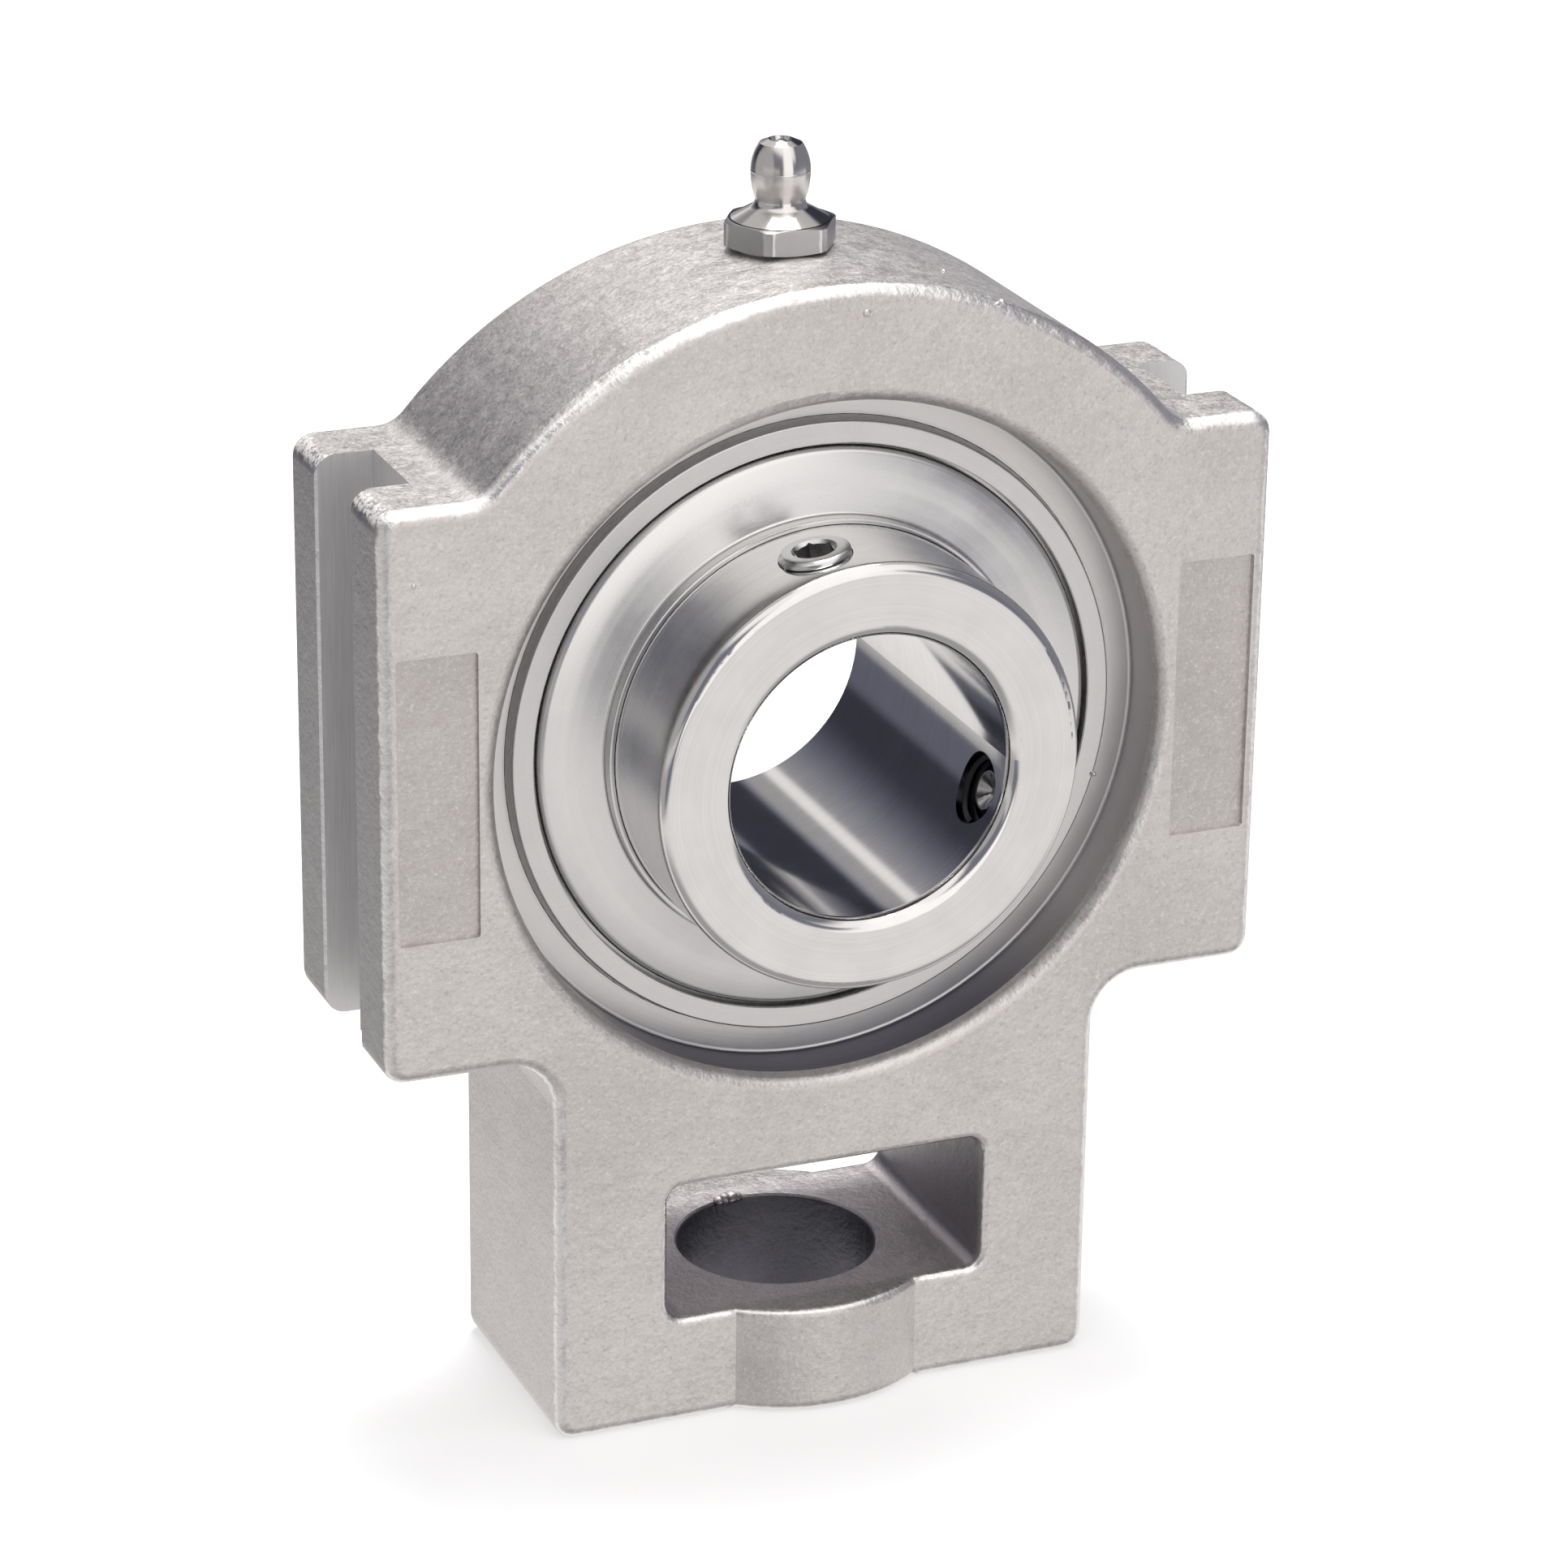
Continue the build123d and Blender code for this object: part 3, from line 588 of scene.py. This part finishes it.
def small_steel(name, colour, rough, mark, depth):
    """Steel whose marks have a size and a depth, both in metres."""
    finish = Finish(name, Metallic=1.0)
    marks = finish.noise(finish.place(), mark, 4.0, 0.65)
    smudge = finish.noise(finish.place(), 5 * mark, 2.0, 0.5)
    darker = tuple(SMUDGED * part for part in colour)
    finish.feed("Base Color", finish.blend(marks * 0.5 + smudge * 0.5, darker, colour))
    finish.feed("Roughness", rough + (marks - 0.5) * rough * 0.6)
    finish.feed("Normal", finish.bump(marks, depth, 0.6))
    return finish


screw_steel = small_steel("set_screw_steel", (0.66, 0.66, 0.66), 0.22, 0.4 * MM, 0.008 * MM)
# Nearly black steel for the threads inside the collar's holes: painted shade.
shaded_hole_thread = small_steel("shaded_hole_thread", (0.09, 0.09, 0.1), 0.4, 0.4 * MM, 0.008 * MM)
ball_steel = small_steel("ball_steel", (0.78, 0.78, 0.79), 0.06, 2 * MM, 0.0005 * MM)
sheet_steel = small_steel("pressed_sheet", (0.55, 0.55, 0.54), 0.34, 0.8 * MM, 0.01 * MM)
spring_steel = small_steel("spring_wire", (0.4, 0.4, 0.4), 0.3, 0.2 * MM, 0.004 * MM)
small_finishes = (screw_steel, shaded_hole_thread, ball_steel, sheet_steel, spring_steel)
print("small parts' finishes:", [finish.material.name for finish in small_finishes])

# %% Finish: seal rubber
rubber = Finish("seal_rubber", Metallic=0.0)
fleck = rubber.noise(rubber.place(), 0.3 * MM, 3.0, 0.6)
rubber.feed("Base Color", rubber.blend(fleck, (0.012, 0.012, 0.013), (0.03, 0.03, 0.032)))
rubber.feed("Roughness", 0.5 + fleck * 0.2)
rubber.feed("Normal", rubber.bump(fleck, 0.02 * MM, 0.5))
print("rubber nodes:", len(rubber.tree.nodes))

# %% [markdown]
# ## The grease fitting
# Its head is turned bright and its hexagon is duller bar stock with worn corners. Fine
# turning stretches every highlight into an upright band, which the shader's anisotropy
# gives: its tangent runs round Z, and a quarter turn stands the bands up. A soft ridge
# lies round the middle of the head, too low to be worth a change of shape.

# %% Finish: grease fitting, its marks and worn corners
HEX_TOP = 54.0 * MM
HEX_CORNER = 6.12 * MM
CORNER_RAGGED = 0.3 * MM
AROUND_FITTING = 0.15
UP_FITTING = 3
fitting_low, fitting_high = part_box("grease_fitting_body")
fitting_y = (fitting_low.y + fitting_high.y) / 2
fitting_steel = Finish("fitting_steel", Metallic=1.0, Anisotropic=0.8, Anisotropic_Rotation=0.25)
spot = fitting_steel.place()
x, y, z = fitting_steel.axes(spot)
stretched = fitting_steel.join(x * AROUND_FITTING, y * AROUND_FITTING, z * UP_FITTING)
lathe_line = fitting_steel.noise(stretched, 0.5 * MM, 4.0, 0.65)
smudge = fitting_steel.noise(spot, 2.5 * MM, 2.0, 0.5)
on_hexagon = fitting_steel.step(z, HEX_TOP, HEX_TOP - WALL)
off_axis = y - fitting_y
from_axis = (x * x + off_axis * off_axis) ** 0.5 + (smudge - 0.5) * CORNER_RAGGED
worn_corner = fitting_steel.step(from_axis, HEX_CORNER - WALL, HEX_CORNER) * on_hexagon * 0.5
print("the fitting stands this far behind the middle in mm:", round(fitting_y / MM, 2))

# %% Finish: grease fitting, its colour and relief
uneven = lathe_line * 0.5 + smudge * 0.5
bright = fitting_steel.blend(uneven, (0.6, 0.585, 0.57), (0.74, 0.72, 0.7))
dull = fitting_steel.blend(smudge, (0.34, 0.34, 0.35), (0.46, 0.455, 0.46))
metal = fitting_steel.blend(on_hexagon, bright, dull)
fitting_steel.feed("Base Color", fitting_steel.blend(worn_corner, metal, (0.85, 0.845, 0.84)))
fitting_steel.feed("Roughness", 0.17 + on_hexagon * 0.14 + (lathe_line - 0.5) * 0.1)
HEAD_RIDGE = 59.2 * MM
RIDGE_REACH = 0.12 * MM
on_ridge = fitting_steel.step(abs(z - HEAD_RIDGE), RIDGE_REACH, RIDGE_REACH / 4)
relief = fitting_steel.bump(on_ridge, 0.03 * MM)
fitting_steel.feed("Normal", fitting_steel.bump(lathe_line, 0.006 * MM, 0.6, relief))
print("fitting nodes:", len(fitting_steel.tree.nodes))

# %% [markdown]
# ## Pieces that keep their solid
# The rings, balls, cage, seals and the grease fitting have their true shape already, so
# they only put their finish on. Their meshes are left alone.

# %% Dress the pieces that keep their solid
WEARS = {
    "outer_ring": ring_face,
    "inner_ring": collar_steel,
    "cage_front_half": sheet_steel,
    "cage_rear_half": sheet_steel,
    "cage_rivets": sheet_steel,
    "front_seal_plate": sheet_steel,
    "rear_seal_plate": sheet_steel,
    "front_seal_rubber": rubber,
    "rear_seal_rubber": rubber,
    "grease_fitting_body": fitting_steel,
    "grease_fitting_ball": ball_steel,
}
BALLS = 9
for number in range(1, BALLS + 1):
    WEARS[f"ball_{number}"] = ball_steel
for name, finish in WEARS.items():
    dress(nodes[name], finish)
print("solids dressed:", len(WEARS))

# %% [markdown]
# ## The casting
# The solid has the right shape, so a copy of it carries the skin. The copy is merged into
# one closed mesh, keeps the sharp edges that the solid had, and gets weighted normals so
# that the large flat faces stay flat beside their roundings. Its machined faces are then
# picked by their place and get the milled and bored finishes.

# %% Copy the housing and merge it
casting = merged_copy("housing", "cast_housing", use_sharp_edge_from_normals=True)
apply_modifier(casting, "WEIGHTED_NORMAL", keep_sharp=True, weight=50)
print("casting faces:", len(casting.data.polygons))

# %% Tests that find the machined faces
SLACK = 0.02 * MM
GROOVE_BOTTOM = 44.5 * MM
GROOVE_HALF_WIDTH = 6 * MM
RAIL_HALF_LENGTH = 32 * MM
COUNTERBORE_RADIUS = 38.3 * MM
RIM_ROUNDING = 1.65 * MM
FIELD_INNER = 40.3 * MM
FIELD_OUTER = 49.3 * MM
FIELD_HALF_HEIGHT = 16 * MM
FIELD_DEPTH = 0.5 * MM


def in_groove(middle, normal):
    beside_rail = abs(middle.y) < GROOVE_HALF_WIDTH + SLACK
    along_rail = abs(middle.z) < RAIL_HALF_LENGTH + SLACK
    return beside_rail and along_rail and abs(middle.x) > GROOVE_BOTTOM - SLACK


def in_bore(middle, normal):
    from_shaft = math.hypot(middle.x, middle.z)
    return from_shaft < COUNTERBORE_RADIUS + SLACK and abs(middle.y) < FACE_Y - RIM_ROUNDING


def on_field_floor(middle, normal):
    in_width = FIELD_INNER < abs(middle.x) < FIELD_OUTER
    in_depth = -FACE_Y + FIELD_DEPTH / 2 < middle.y < -FACE_Y + 2 * FIELD_DEPTH
    return in_width and in_depth and abs(middle.z) < FIELD_HALF_HEIGHT


print("machined surfaces to find:", "grooves, bore, field floors")

# %% Give the machined faces their own finish
dress(casting, *casting_finishes)
open_piece(casting)
for number, test in enumerate((in_groove, in_bore, on_field_floor), 1):
    count = pick_faces(casting, test)
    casting.active_material_index = number
    bpy.ops.object.material_slot_assign()
    print("machined faces in slot", number, ":", count)
    bpy.ops.mesh.select_all(action="DESELECT")
close_piece()
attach(casting, "housing")
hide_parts("housing")

# %% [markdown]
# ## The flingers
# Each flinger is a disc of thin stainless sheet, pressed with a short skirt that dips into
# the ring's recess and a sleeve that grips the inner ring. It is drawn as the press forms
# it: one circle pulled through the section ring by ring, with the bends rounded before the
# sheet gets its thickness. The rear one is the same pressing turned round.

# %% Pull a circle through the front flinger's section
FLINGER_SIDES = 160
SKIRT_RADIUS = 31.65 * MM
SLEEVE_RADIUS = 24.32 * MM
SKIRT_START = -8.2 * MM
SECTION = (
    (SKIRT_RADIUS, -9.2 * MM),
    (28.4 * MM, -9.54 * MM),
    (SLEEVE_RADIUS, -9.8 * MM),
    (SLEEVE_RADIUS, -11.7 * MM),
)
deselect()
bpy.ops.mesh.primitive_circle_add(
    vertices=FLINGER_SIDES,
    radius=SKIRT_RADIUS,
    location=(0, SKIRT_START, 0),
    rotation=(math.pi / 2, 0, 0),
)
front_flinger = bpy.context.object
front_flinger.name = "pressed_flinger_front"
settle(front_flinger)
open_piece(front_flinger)
bpy.ops.mesh.select_mode(type="EDGE")
bpy.ops.mesh.select_all(action="SELECT")
radius, along = SKIRT_RADIUS, SKIRT_START
for next_radius, next_along in SECTION:
    pull = {"value": (0, next_along - along, 0)}
    bpy.ops.mesh.extrude_edges_move(TRANSFORM_OT_translate=pull)
    factor = next_radius / radius
    bpy.ops.transform.resize(value=(factor, 1, factor), center_override=(0, next_along, 0))
    radius, along = next_radius, next_along
bpy.ops.mesh.select_all(action="SELECT")
bpy.ops.mesh.normals_make_consistent(inside=False)
close_piece()
print("faces of the thin flinger:", len(front_flinger.data.polygons))

# %% Round its bends and give the sheet its thickness
SHEET = 0.6 * MM
BEND = 0.6 * MM
RIM_EDGE = 0.12 * MM
SHARP_BEND = math.radians(30)
SHEARED_RIM = math.radians(60)
bends = {"width": BEND, "segments": 6, "angle_limit": SHARP_BEND}
rims = {"width": RIM_EDGE, "segments": 2, "angle_limit": SHEARED_RIM}
apply_modifier(front_flinger, "BEVEL", limit_method="ANGLE", **bends)
apply_modifier(front_flinger, "SOLIDIFY", thickness=SHEET, offset=0.0, use_even_offset=True)
apply_modifier(front_flinger, "BEVEL", limit_method="ANGLE", **rims)
smooth(front_flinger, SHARP_BEND)
print("flinger faces:", len(front_flinger.data.polygons))

# %% Turn a copy round for the rear
rear_flinger = own_copy(front_flinger, "pressed_flinger_rear")
rear_flinger.rotation_euler.z = math.pi
settle(rear_flinger)
for piece, node in ((front_flinger, "front_flinger"), (rear_flinger, "rear_flinger")):
    dress(piece, flinger_steel)
    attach(piece, "inner_race")
    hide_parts(node)
print(rear_flinger.name, "faces:", len(rear_flinger.data.polygons))

# %% [markdown]
# ## Threads of the set screws
# The collar's two cup point screws have a fine inch thread. On the real screw it is
# rolled; here a triangle is wound up into a helix and cut out of a merged copy of the solid
# screw. The same helix, a little slimmer, stays in the collar's hole as its own thread, so
# screw and hole still mesh when the screw has travelled whole turns.

# %% Wind the two helices
INCH = 25.4 * MM
THREADS_AN_INCH = 24
PITCH = INCH / THREADS_AN_INCH
HELIX_START = 15.5 * MM
STEPS_A_TURN = 40
GROOVE_MIDDLE, GROOVE_SIZE, GROOVE_TURNS = 3.9 * MM, 0.6 * MM, 10
RIDGE_MIDDLE, RIDGE_SIZE, RIDGE_TURNS = 3.95 * MM, 0.5 * MM, 6


def wound_triangle(name, middle, size, start, turns):
    """A triangle whose point looks at the axis, wound round Z and closed at its ends."""
    deselect()
    bpy.ops.mesh.primitive_circle_add(
        vertices=3,
        radius=size,
        location=(middle, 0, start),
        rotation=(math.pi / 2, -math.pi / 2, 0),
    )
    coil = bpy.context.object
    coil.name = name
    settle(coil)
    steps = {"steps": STEPS_A_TURN, "render_steps": STEPS_A_TURN, "use_normal_calculate": True}
    apply_modifier(coil, "SCREW", screw_offset=PITCH, iterations=turns, **steps)
    open_piece(coil)
    bpy.ops.mesh.select_all(action="SELECT")
    bpy.ops.mesh.remove_doubles(threshold=WELD)
    bpy.ops.mesh.fill_holes(sides=3)
    bpy.ops.mesh.normals_make_consistent(inside=False)
    close_piece()
    return coil


groove_winding = (GROOVE_MIDDLE, GROOVE_SIZE, HELIX_START, GROOVE_TURNS)
ridge_winding = (RIDGE_MIDDLE, RIDGE_SIZE, HELIX_START + PITCH, RIDGE_TURNS)
groove_coil = wound_triangle("groove_coil", *groove_winding)
hole_thread = wound_triangle("collar_thread_1", *ridge_winding)
print("thread faces:", len(groove_coil.data.polygons), len(hole_thread.data.polygons))


# %% Place the threads of the two holes
CREASE = math.radians(32)


def set_at(piece, angle):
    """Leans a piece built round Z over to the place of a set screw."""
    piece.rotation_euler.y = angle
    piece.location.y = SCREW_Y
    settle(piece)


second_thread = own_copy(hole_thread, "collar_thread_2")
for angle, thread in zip(SCREW_ANGLES, (hole_thread, second_thread)):
    set_at(thread, angle)
    smooth(thread, CREASE)
    # the hole's thread is painted nearly black: painted shade
    dress(thread, shaded_hole_thread)
    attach(thread, "inner_race")
print("faces in one hole's thread:", len(hole_thread.data.polygons))

# %% Cut the screws
for number, angle in enumerate(SCREW_ANGLES, 1):
    node = f"set_screw_{number}"
    cutter = own_copy(groove_coil, "cutter")
    set_at(cutter, angle)
    screw = merged_copy(node, f"threaded_screw_{number}")
    apply_modifier(screw, "BOOLEAN", operation="DIFFERENCE", object=cutter, solver="EXACT")
    bpy.data.objects.remove(cutter)
    smooth(screw, CREASE)
    dress(screw, screw_steel)
    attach(screw, node)
    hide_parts(node)
    print(screw.name, "faces:", len(screw.data.polygons))
bpy.data.objects.remove(groove_coil)

# %% [markdown]
# ## The spring under the check ball
# A ball in the fitting's head closes it, pushed up by a tiny coil spring. When a grease gun
# presses the ball down the coils close up. This is a merged copy of the solid spring,
# shaded smooth and given its own finish and its own mesh.

# %% Copy of the spring under the ball
spring = merged_copy("grease_fitting_spring", "check_spring")
smooth(spring, CREASE)
dress(spring, spring_steel)
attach(spring, "housing")
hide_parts("grease_fitting_spring")
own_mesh(spring)


# %% [markdown]
# ## Small marks of the foundry and the workshop
# The shell mould leaves a few tiny pimples on the arch, the drill leaves a ragged burr at
# the back of the adjuster hole, and the ring's edge carries one bright nib. Each starts as
# a low disc whose top is inset, lifted and rounded, then it is sunk a little into its face.

# %% A rounded bump that stands on a face
BUMP_CREASE = math.radians(50)
UPWARDS = 0.9
SHOULDER = 0.35
TOP_INSET = 0.3
TOP_LIFT = 0.12
ROUNDING = 0.12


def low_bump(name, place, facing, radius, height, sides=14):
    """Place, radius and height are in mm; facing is the direction the bump stands in."""
    radius, height = radius * MM, height * MM
    deselect()
    bpy.ops.mesh.primitive_cylinder_add(vertices=sides, radius=radius, depth=height)
    bump = bpy.context.object
    bump.name = name
    open_piece(bump)
    pick_faces(bump, lambda middle, normal: normal.z > UPWARDS)
    bpy.ops.mesh.inset(thickness=radius * SHOULDER, depth=height * SHOULDER)
    bpy.ops.mesh.inset(thickness=radius * TOP_INSET, depth=height * TOP_LIFT)
    close_piece()
    apply_modifier(bump, "BEVEL", width=radius * ROUNDING, segments=3, limit_method="ANGLE")
    smooth(bump, BUMP_CREASE)
    bump.rotation_euler = Vector(facing).to_track_quat("Z", "Y").to_euler()
    bump.location = Vector(place) * MM
    settle(bump)
    return bump


print("a bump's shoulder takes this share of its radius:", SHOULDER)

# %% Pimples on the housing
PIMPLES = {
    # place in mm, the way it stands, radius and height in mm
    "pimple_face": ((2.7, -15.0, 48.0), (0, -1, 0), 0.45, 0.2),
    "pimple_edge": ((18.2, -14.5, 47.4), (0.25, -0.7, 0.67), 0.38, 0.5),
    "pimple_arch": ((15.8, -5.0, 48.45), (0.31, 0, 0.95), 0.3, 0.3),
    "pimple_left": ((-47.2, -15.0, 24.0), (0, -1, 0), 0.28, 0.14),
}
for name, measures in PIMPLES.items():
    pimple = low_bump(name, *measures)
    dress(pimple, cast)
    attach(pimple, "housing")
print("pimples:", len(PIMPLES))

# %% Burr round the rear left of the adjuster hole
BURR_RADIUS = ADJUSTER_HOLE_RADIUS + 0.2 * MM
FLAKE_SIDES = 7
FLAKE_TILT = -0.5
FLAKES = (
    # turn round the hole in degrees, radius and height in mm, lean to the side
    (91, 0.7, 0.4, 0.2),
    (95, 0.9, 0.6, -0.35),
    (99, 0.8, 0.7, 0.3),
    (103, 0.7, 0.45, -0.2),
)
for number, (turn, radius, height, lean) in enumerate(FLAKES, 1):
    angle = math.radians(turn)
    on_edge = (math.cos(angle) * BURR_RADIUS, math.sin(angle) * BURR_RADIUS, END_BAR_TOP)
    place, facing = Vector(on_edge) / MM, (lean, FLAKE_TILT, 1)
    flake = low_bump(f"hole_burr_{number}", place, facing, radius, height, FLAKE_SIDES)
    dress(flake, torn_edge)
    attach(flake, "housing")
print("flakes of the burr:", len(FLAKES))

# %% Nib on the ring's edge
nib = low_bump("ring_nib", (33.25, -9.5, -9.6), (0.5, -0.8, 0), 0.3, 0.5, sides=9)
dress(nib, ring_face)
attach(nib, "outer_race")
print("nib faces:", len(nib.data.polygons))

# %% [markdown]
# ## Floor, light and camera
# The photograph is taken from the front, left and above on white. A wide pale floor
# carries the unit, and one large soft lamp above it stands for the studio's main box. The
# floor glows a little of itself, which keeps it white without a lamp that would burn out
# the steel, and it stays out of reflections, which the painted room below gives instead.

# %% Floor
FLOOR_SIZE = 40
FLOOR_CLOUDS = 0.4
deselect()
bpy.ops.mesh.primitive_plane_add(size=FLOOR_SIZE, location=(0, 0, floor_level))
floor = bpy.context.object
floor.name = "floor"
settle(floor)
open_piece(floor)
bpy.ops.mesh.select_all(action="SELECT")
bpy.ops.mesh.subdivide(number_cuts=4)
close_piece()
floor_paint = Finish("floor_paint", Metallic=0.0, Emission_Strength=0.5)
tint = floor_paint.noise(floor_paint.place(), FLOOR_CLOUDS, 2.0, 0.5)
floor_paint.feed("Base Color", floor_paint.blend(tint, (0.6, 0.6, 0.6), (0.62, 0.62, 0.62)))
floor_paint.feed("Roughness", 0.8 + tint * 0.1)
dress(floor, floor_paint)
floor.visible_glossy = False
print("floor level in mm:", round(floor_level / MM, 3))

# %% Lamp
LAMP_PLACE = Vector((0.15, 0.25, 1.2))
LAMP_WIDTH = 0.5
LAMP_WATTS = 14.0
lamp = bpy.data.lights.new("box_above", "AREA")
lamp.shape = "RECTANGLE"
lamp.size = LAMP_WIDTH
lamp.size_y = LAMP_WIDTH
lamp.energy = LAMP_WATTS
soft_box = bpy.data.objects.new("box_above", lamp)
bpy.context.scene.collection.objects.link(soft_box)
soft_box.location = LAMP_PLACE
soft_box.rotation_euler = (-LAMP_PLACE).to_track_quat("-Z", "Y").to_euler()
print("the lamp hangs at this height in m:", round(LAMP_PLACE.z, 2))

# %% [markdown]
# ## The room that the steel reflects
# Polished steel has hardly a colour of its own: its look is the room in it. A picture of
# a studio could surround the unit, but a few masks on the direction of sight do the same
# and can be moved one by one. Each line below is one part of the room, at a brightness of
# its own, and the brightest part shows. Across, behind and height run from -1 to 1, and
# a step's two numbers say where along them the part begins and where it is full. The dark
# reaches between them are what the bore and the collar show as their dark streaks.

# %% Half in front of the unit
world = bpy.data.worlds.new("studio")
bpy.context.scene.world = world
world.use_nodes = True
room = NodeSheet(world.node_tree)
across, behind, height = room.axes(room.node("ShaderNodeTexCoord", {}, {}, "Generated"))


def brightest(first, *others):
    for other in others:
        first = room.node("ShaderNodeMath", {"operation": "MAXIMUM"}, {0: first, 1: other})
    return first


def between(value, outer_low, inner_low, inner_high, outer_high):
    """1 between the two inner edges, falling to 0 at the outer ones."""
    return room.step(value, outer_low, inner_low) * room.step(value, outer_high, inner_high)


FRONT_DUSK = 0.24
left_wall = room.step(across, -0.62, -0.78) * 0.5
right_wall = room.step(across, 0.7, 0.82) * 0.28
front_floor = room.step(height - across * 0.15, -0.22, -0.36)
front_floor = front_floor * (1.0 - room.step(height, -0.42, -0.75) * 0.55)
front_box = between(across, -0.32, -0.08, 0.4, 0.5) * room.step(height, -0.34, -0.2) * 1.4
front_ceiling = room.step(height + across * 0.35, 0.3, 0.6)
front_ceiling = front_ceiling * room.step(across, 0.78, 0.52) * 1.25
front_line = room.step(abs(height + 0.06), 0.13, 0.05)
front_line = front_line * room.step(across, -0.36, -0.46) * 0.75
in_front = (front_floor, front_box, front_ceiling, front_line, left_wall, right_wall)
front_glow = brightest(*in_front, FRONT_DUSK)
print("bright parts in front:", len(in_front))

# %% Half behind the unit
BACK_DUSK = 0.05
back_floor = room.step(height, -0.22, -0.4)
back_haze = room.step(height, 0.08, -0.06) * 0.16
back_slope = between(across, -0.6, 0.1, 0.2, 0.3) * 0.42
back_streak = room.step(abs(across - 0.04), 0.1, 0.02) * 1.05
back_right = room.step(across, 0.35, 0.48) * room.step(height, 0.15, 0.0) * 0.28
back_ceiling = room.step(height, 0.56, 0.7) * 0.65
at_back = (back_floor, back_haze, back_slope, back_streak, back_right, back_ceiling)
back_glow = brightest(*at_back, left_wall, right_wall, BACK_DUSK)
print("bright parts behind:", len(at_back))

# %% Join the two halves
HALVES_MEET = (-0.15, 0.15)
DARK_HUE = (0.86, 0.9, 1.25)
LIGHT_HUE = (1.0, 0.975, 0.965)
back_half = room.step(behind, *HALVES_MEET)
lit = front_glow * (1 - back_half) + back_glow * back_half
hue = room.blend(room.step(lit, 0.0, 0.5), DARK_HUE, LIGHT_HUE)
glow = room.scaled(hue, lit)
backdrop = world.node_tree.nodes["Background"]
world.node_tree.links.new(glow.socket, backdrop.inputs["Color"])
backdrop.inputs["Strength"].default_value = 1.0
bpy.context.scene.view_settings.view_transform = "Standard"
print("nodes in the room:", len(world.node_tree.nodes))

# %% [markdown]
# ## The camera
# The photograph's viewing angle was found by matching the rails, the bore and the end bar
# with their places in the picture. The camera is built from that angle: one direction
# back from the unit, and the picture's own right and down, rolled a little.

# %% Camera at the photograph's viewing angle
AZIMUTH = math.radians(-22.547)
ELEVATION = math.radians(21.585)
ROLL = math.radians(-0.760)
DISTANCE = 592.80 * MM
TARGET = Vector((0.285, 0.0, -9.817)) * MM
LENS = 123.66
SENSOR = 36.0
level = math.cos(ELEVATION)
back = Vector((math.sin(AZIMUTH) * level, -math.cos(AZIMUTH) * level, math.sin(ELEVATION)))
right = (-back).cross(Vector((0, 0, 1))).normalized()
down = (-back).cross(right)
image_x = math.cos(ROLL) * right + math.sin(ROLL) * down
image_down = -math.sin(ROLL) * right + math.cos(ROLL) * down
camera_data = bpy.data.cameras.new("camera")
camera_data.lens = LENS
camera_data.sensor_width = SENSOR
camera = bpy.data.objects.new("camera", camera_data)
bpy.context.scene.collection.objects.link(camera)
turn = Matrix((image_x, -image_down, back)).transposed().to_4x4()
camera.matrix_world = Matrix.Translation(TARGET + back * DISTANCE) @ turn
bpy.context.scene.camera = camera
print("camera stands", round(DISTANCE, 3), "m from the unit")
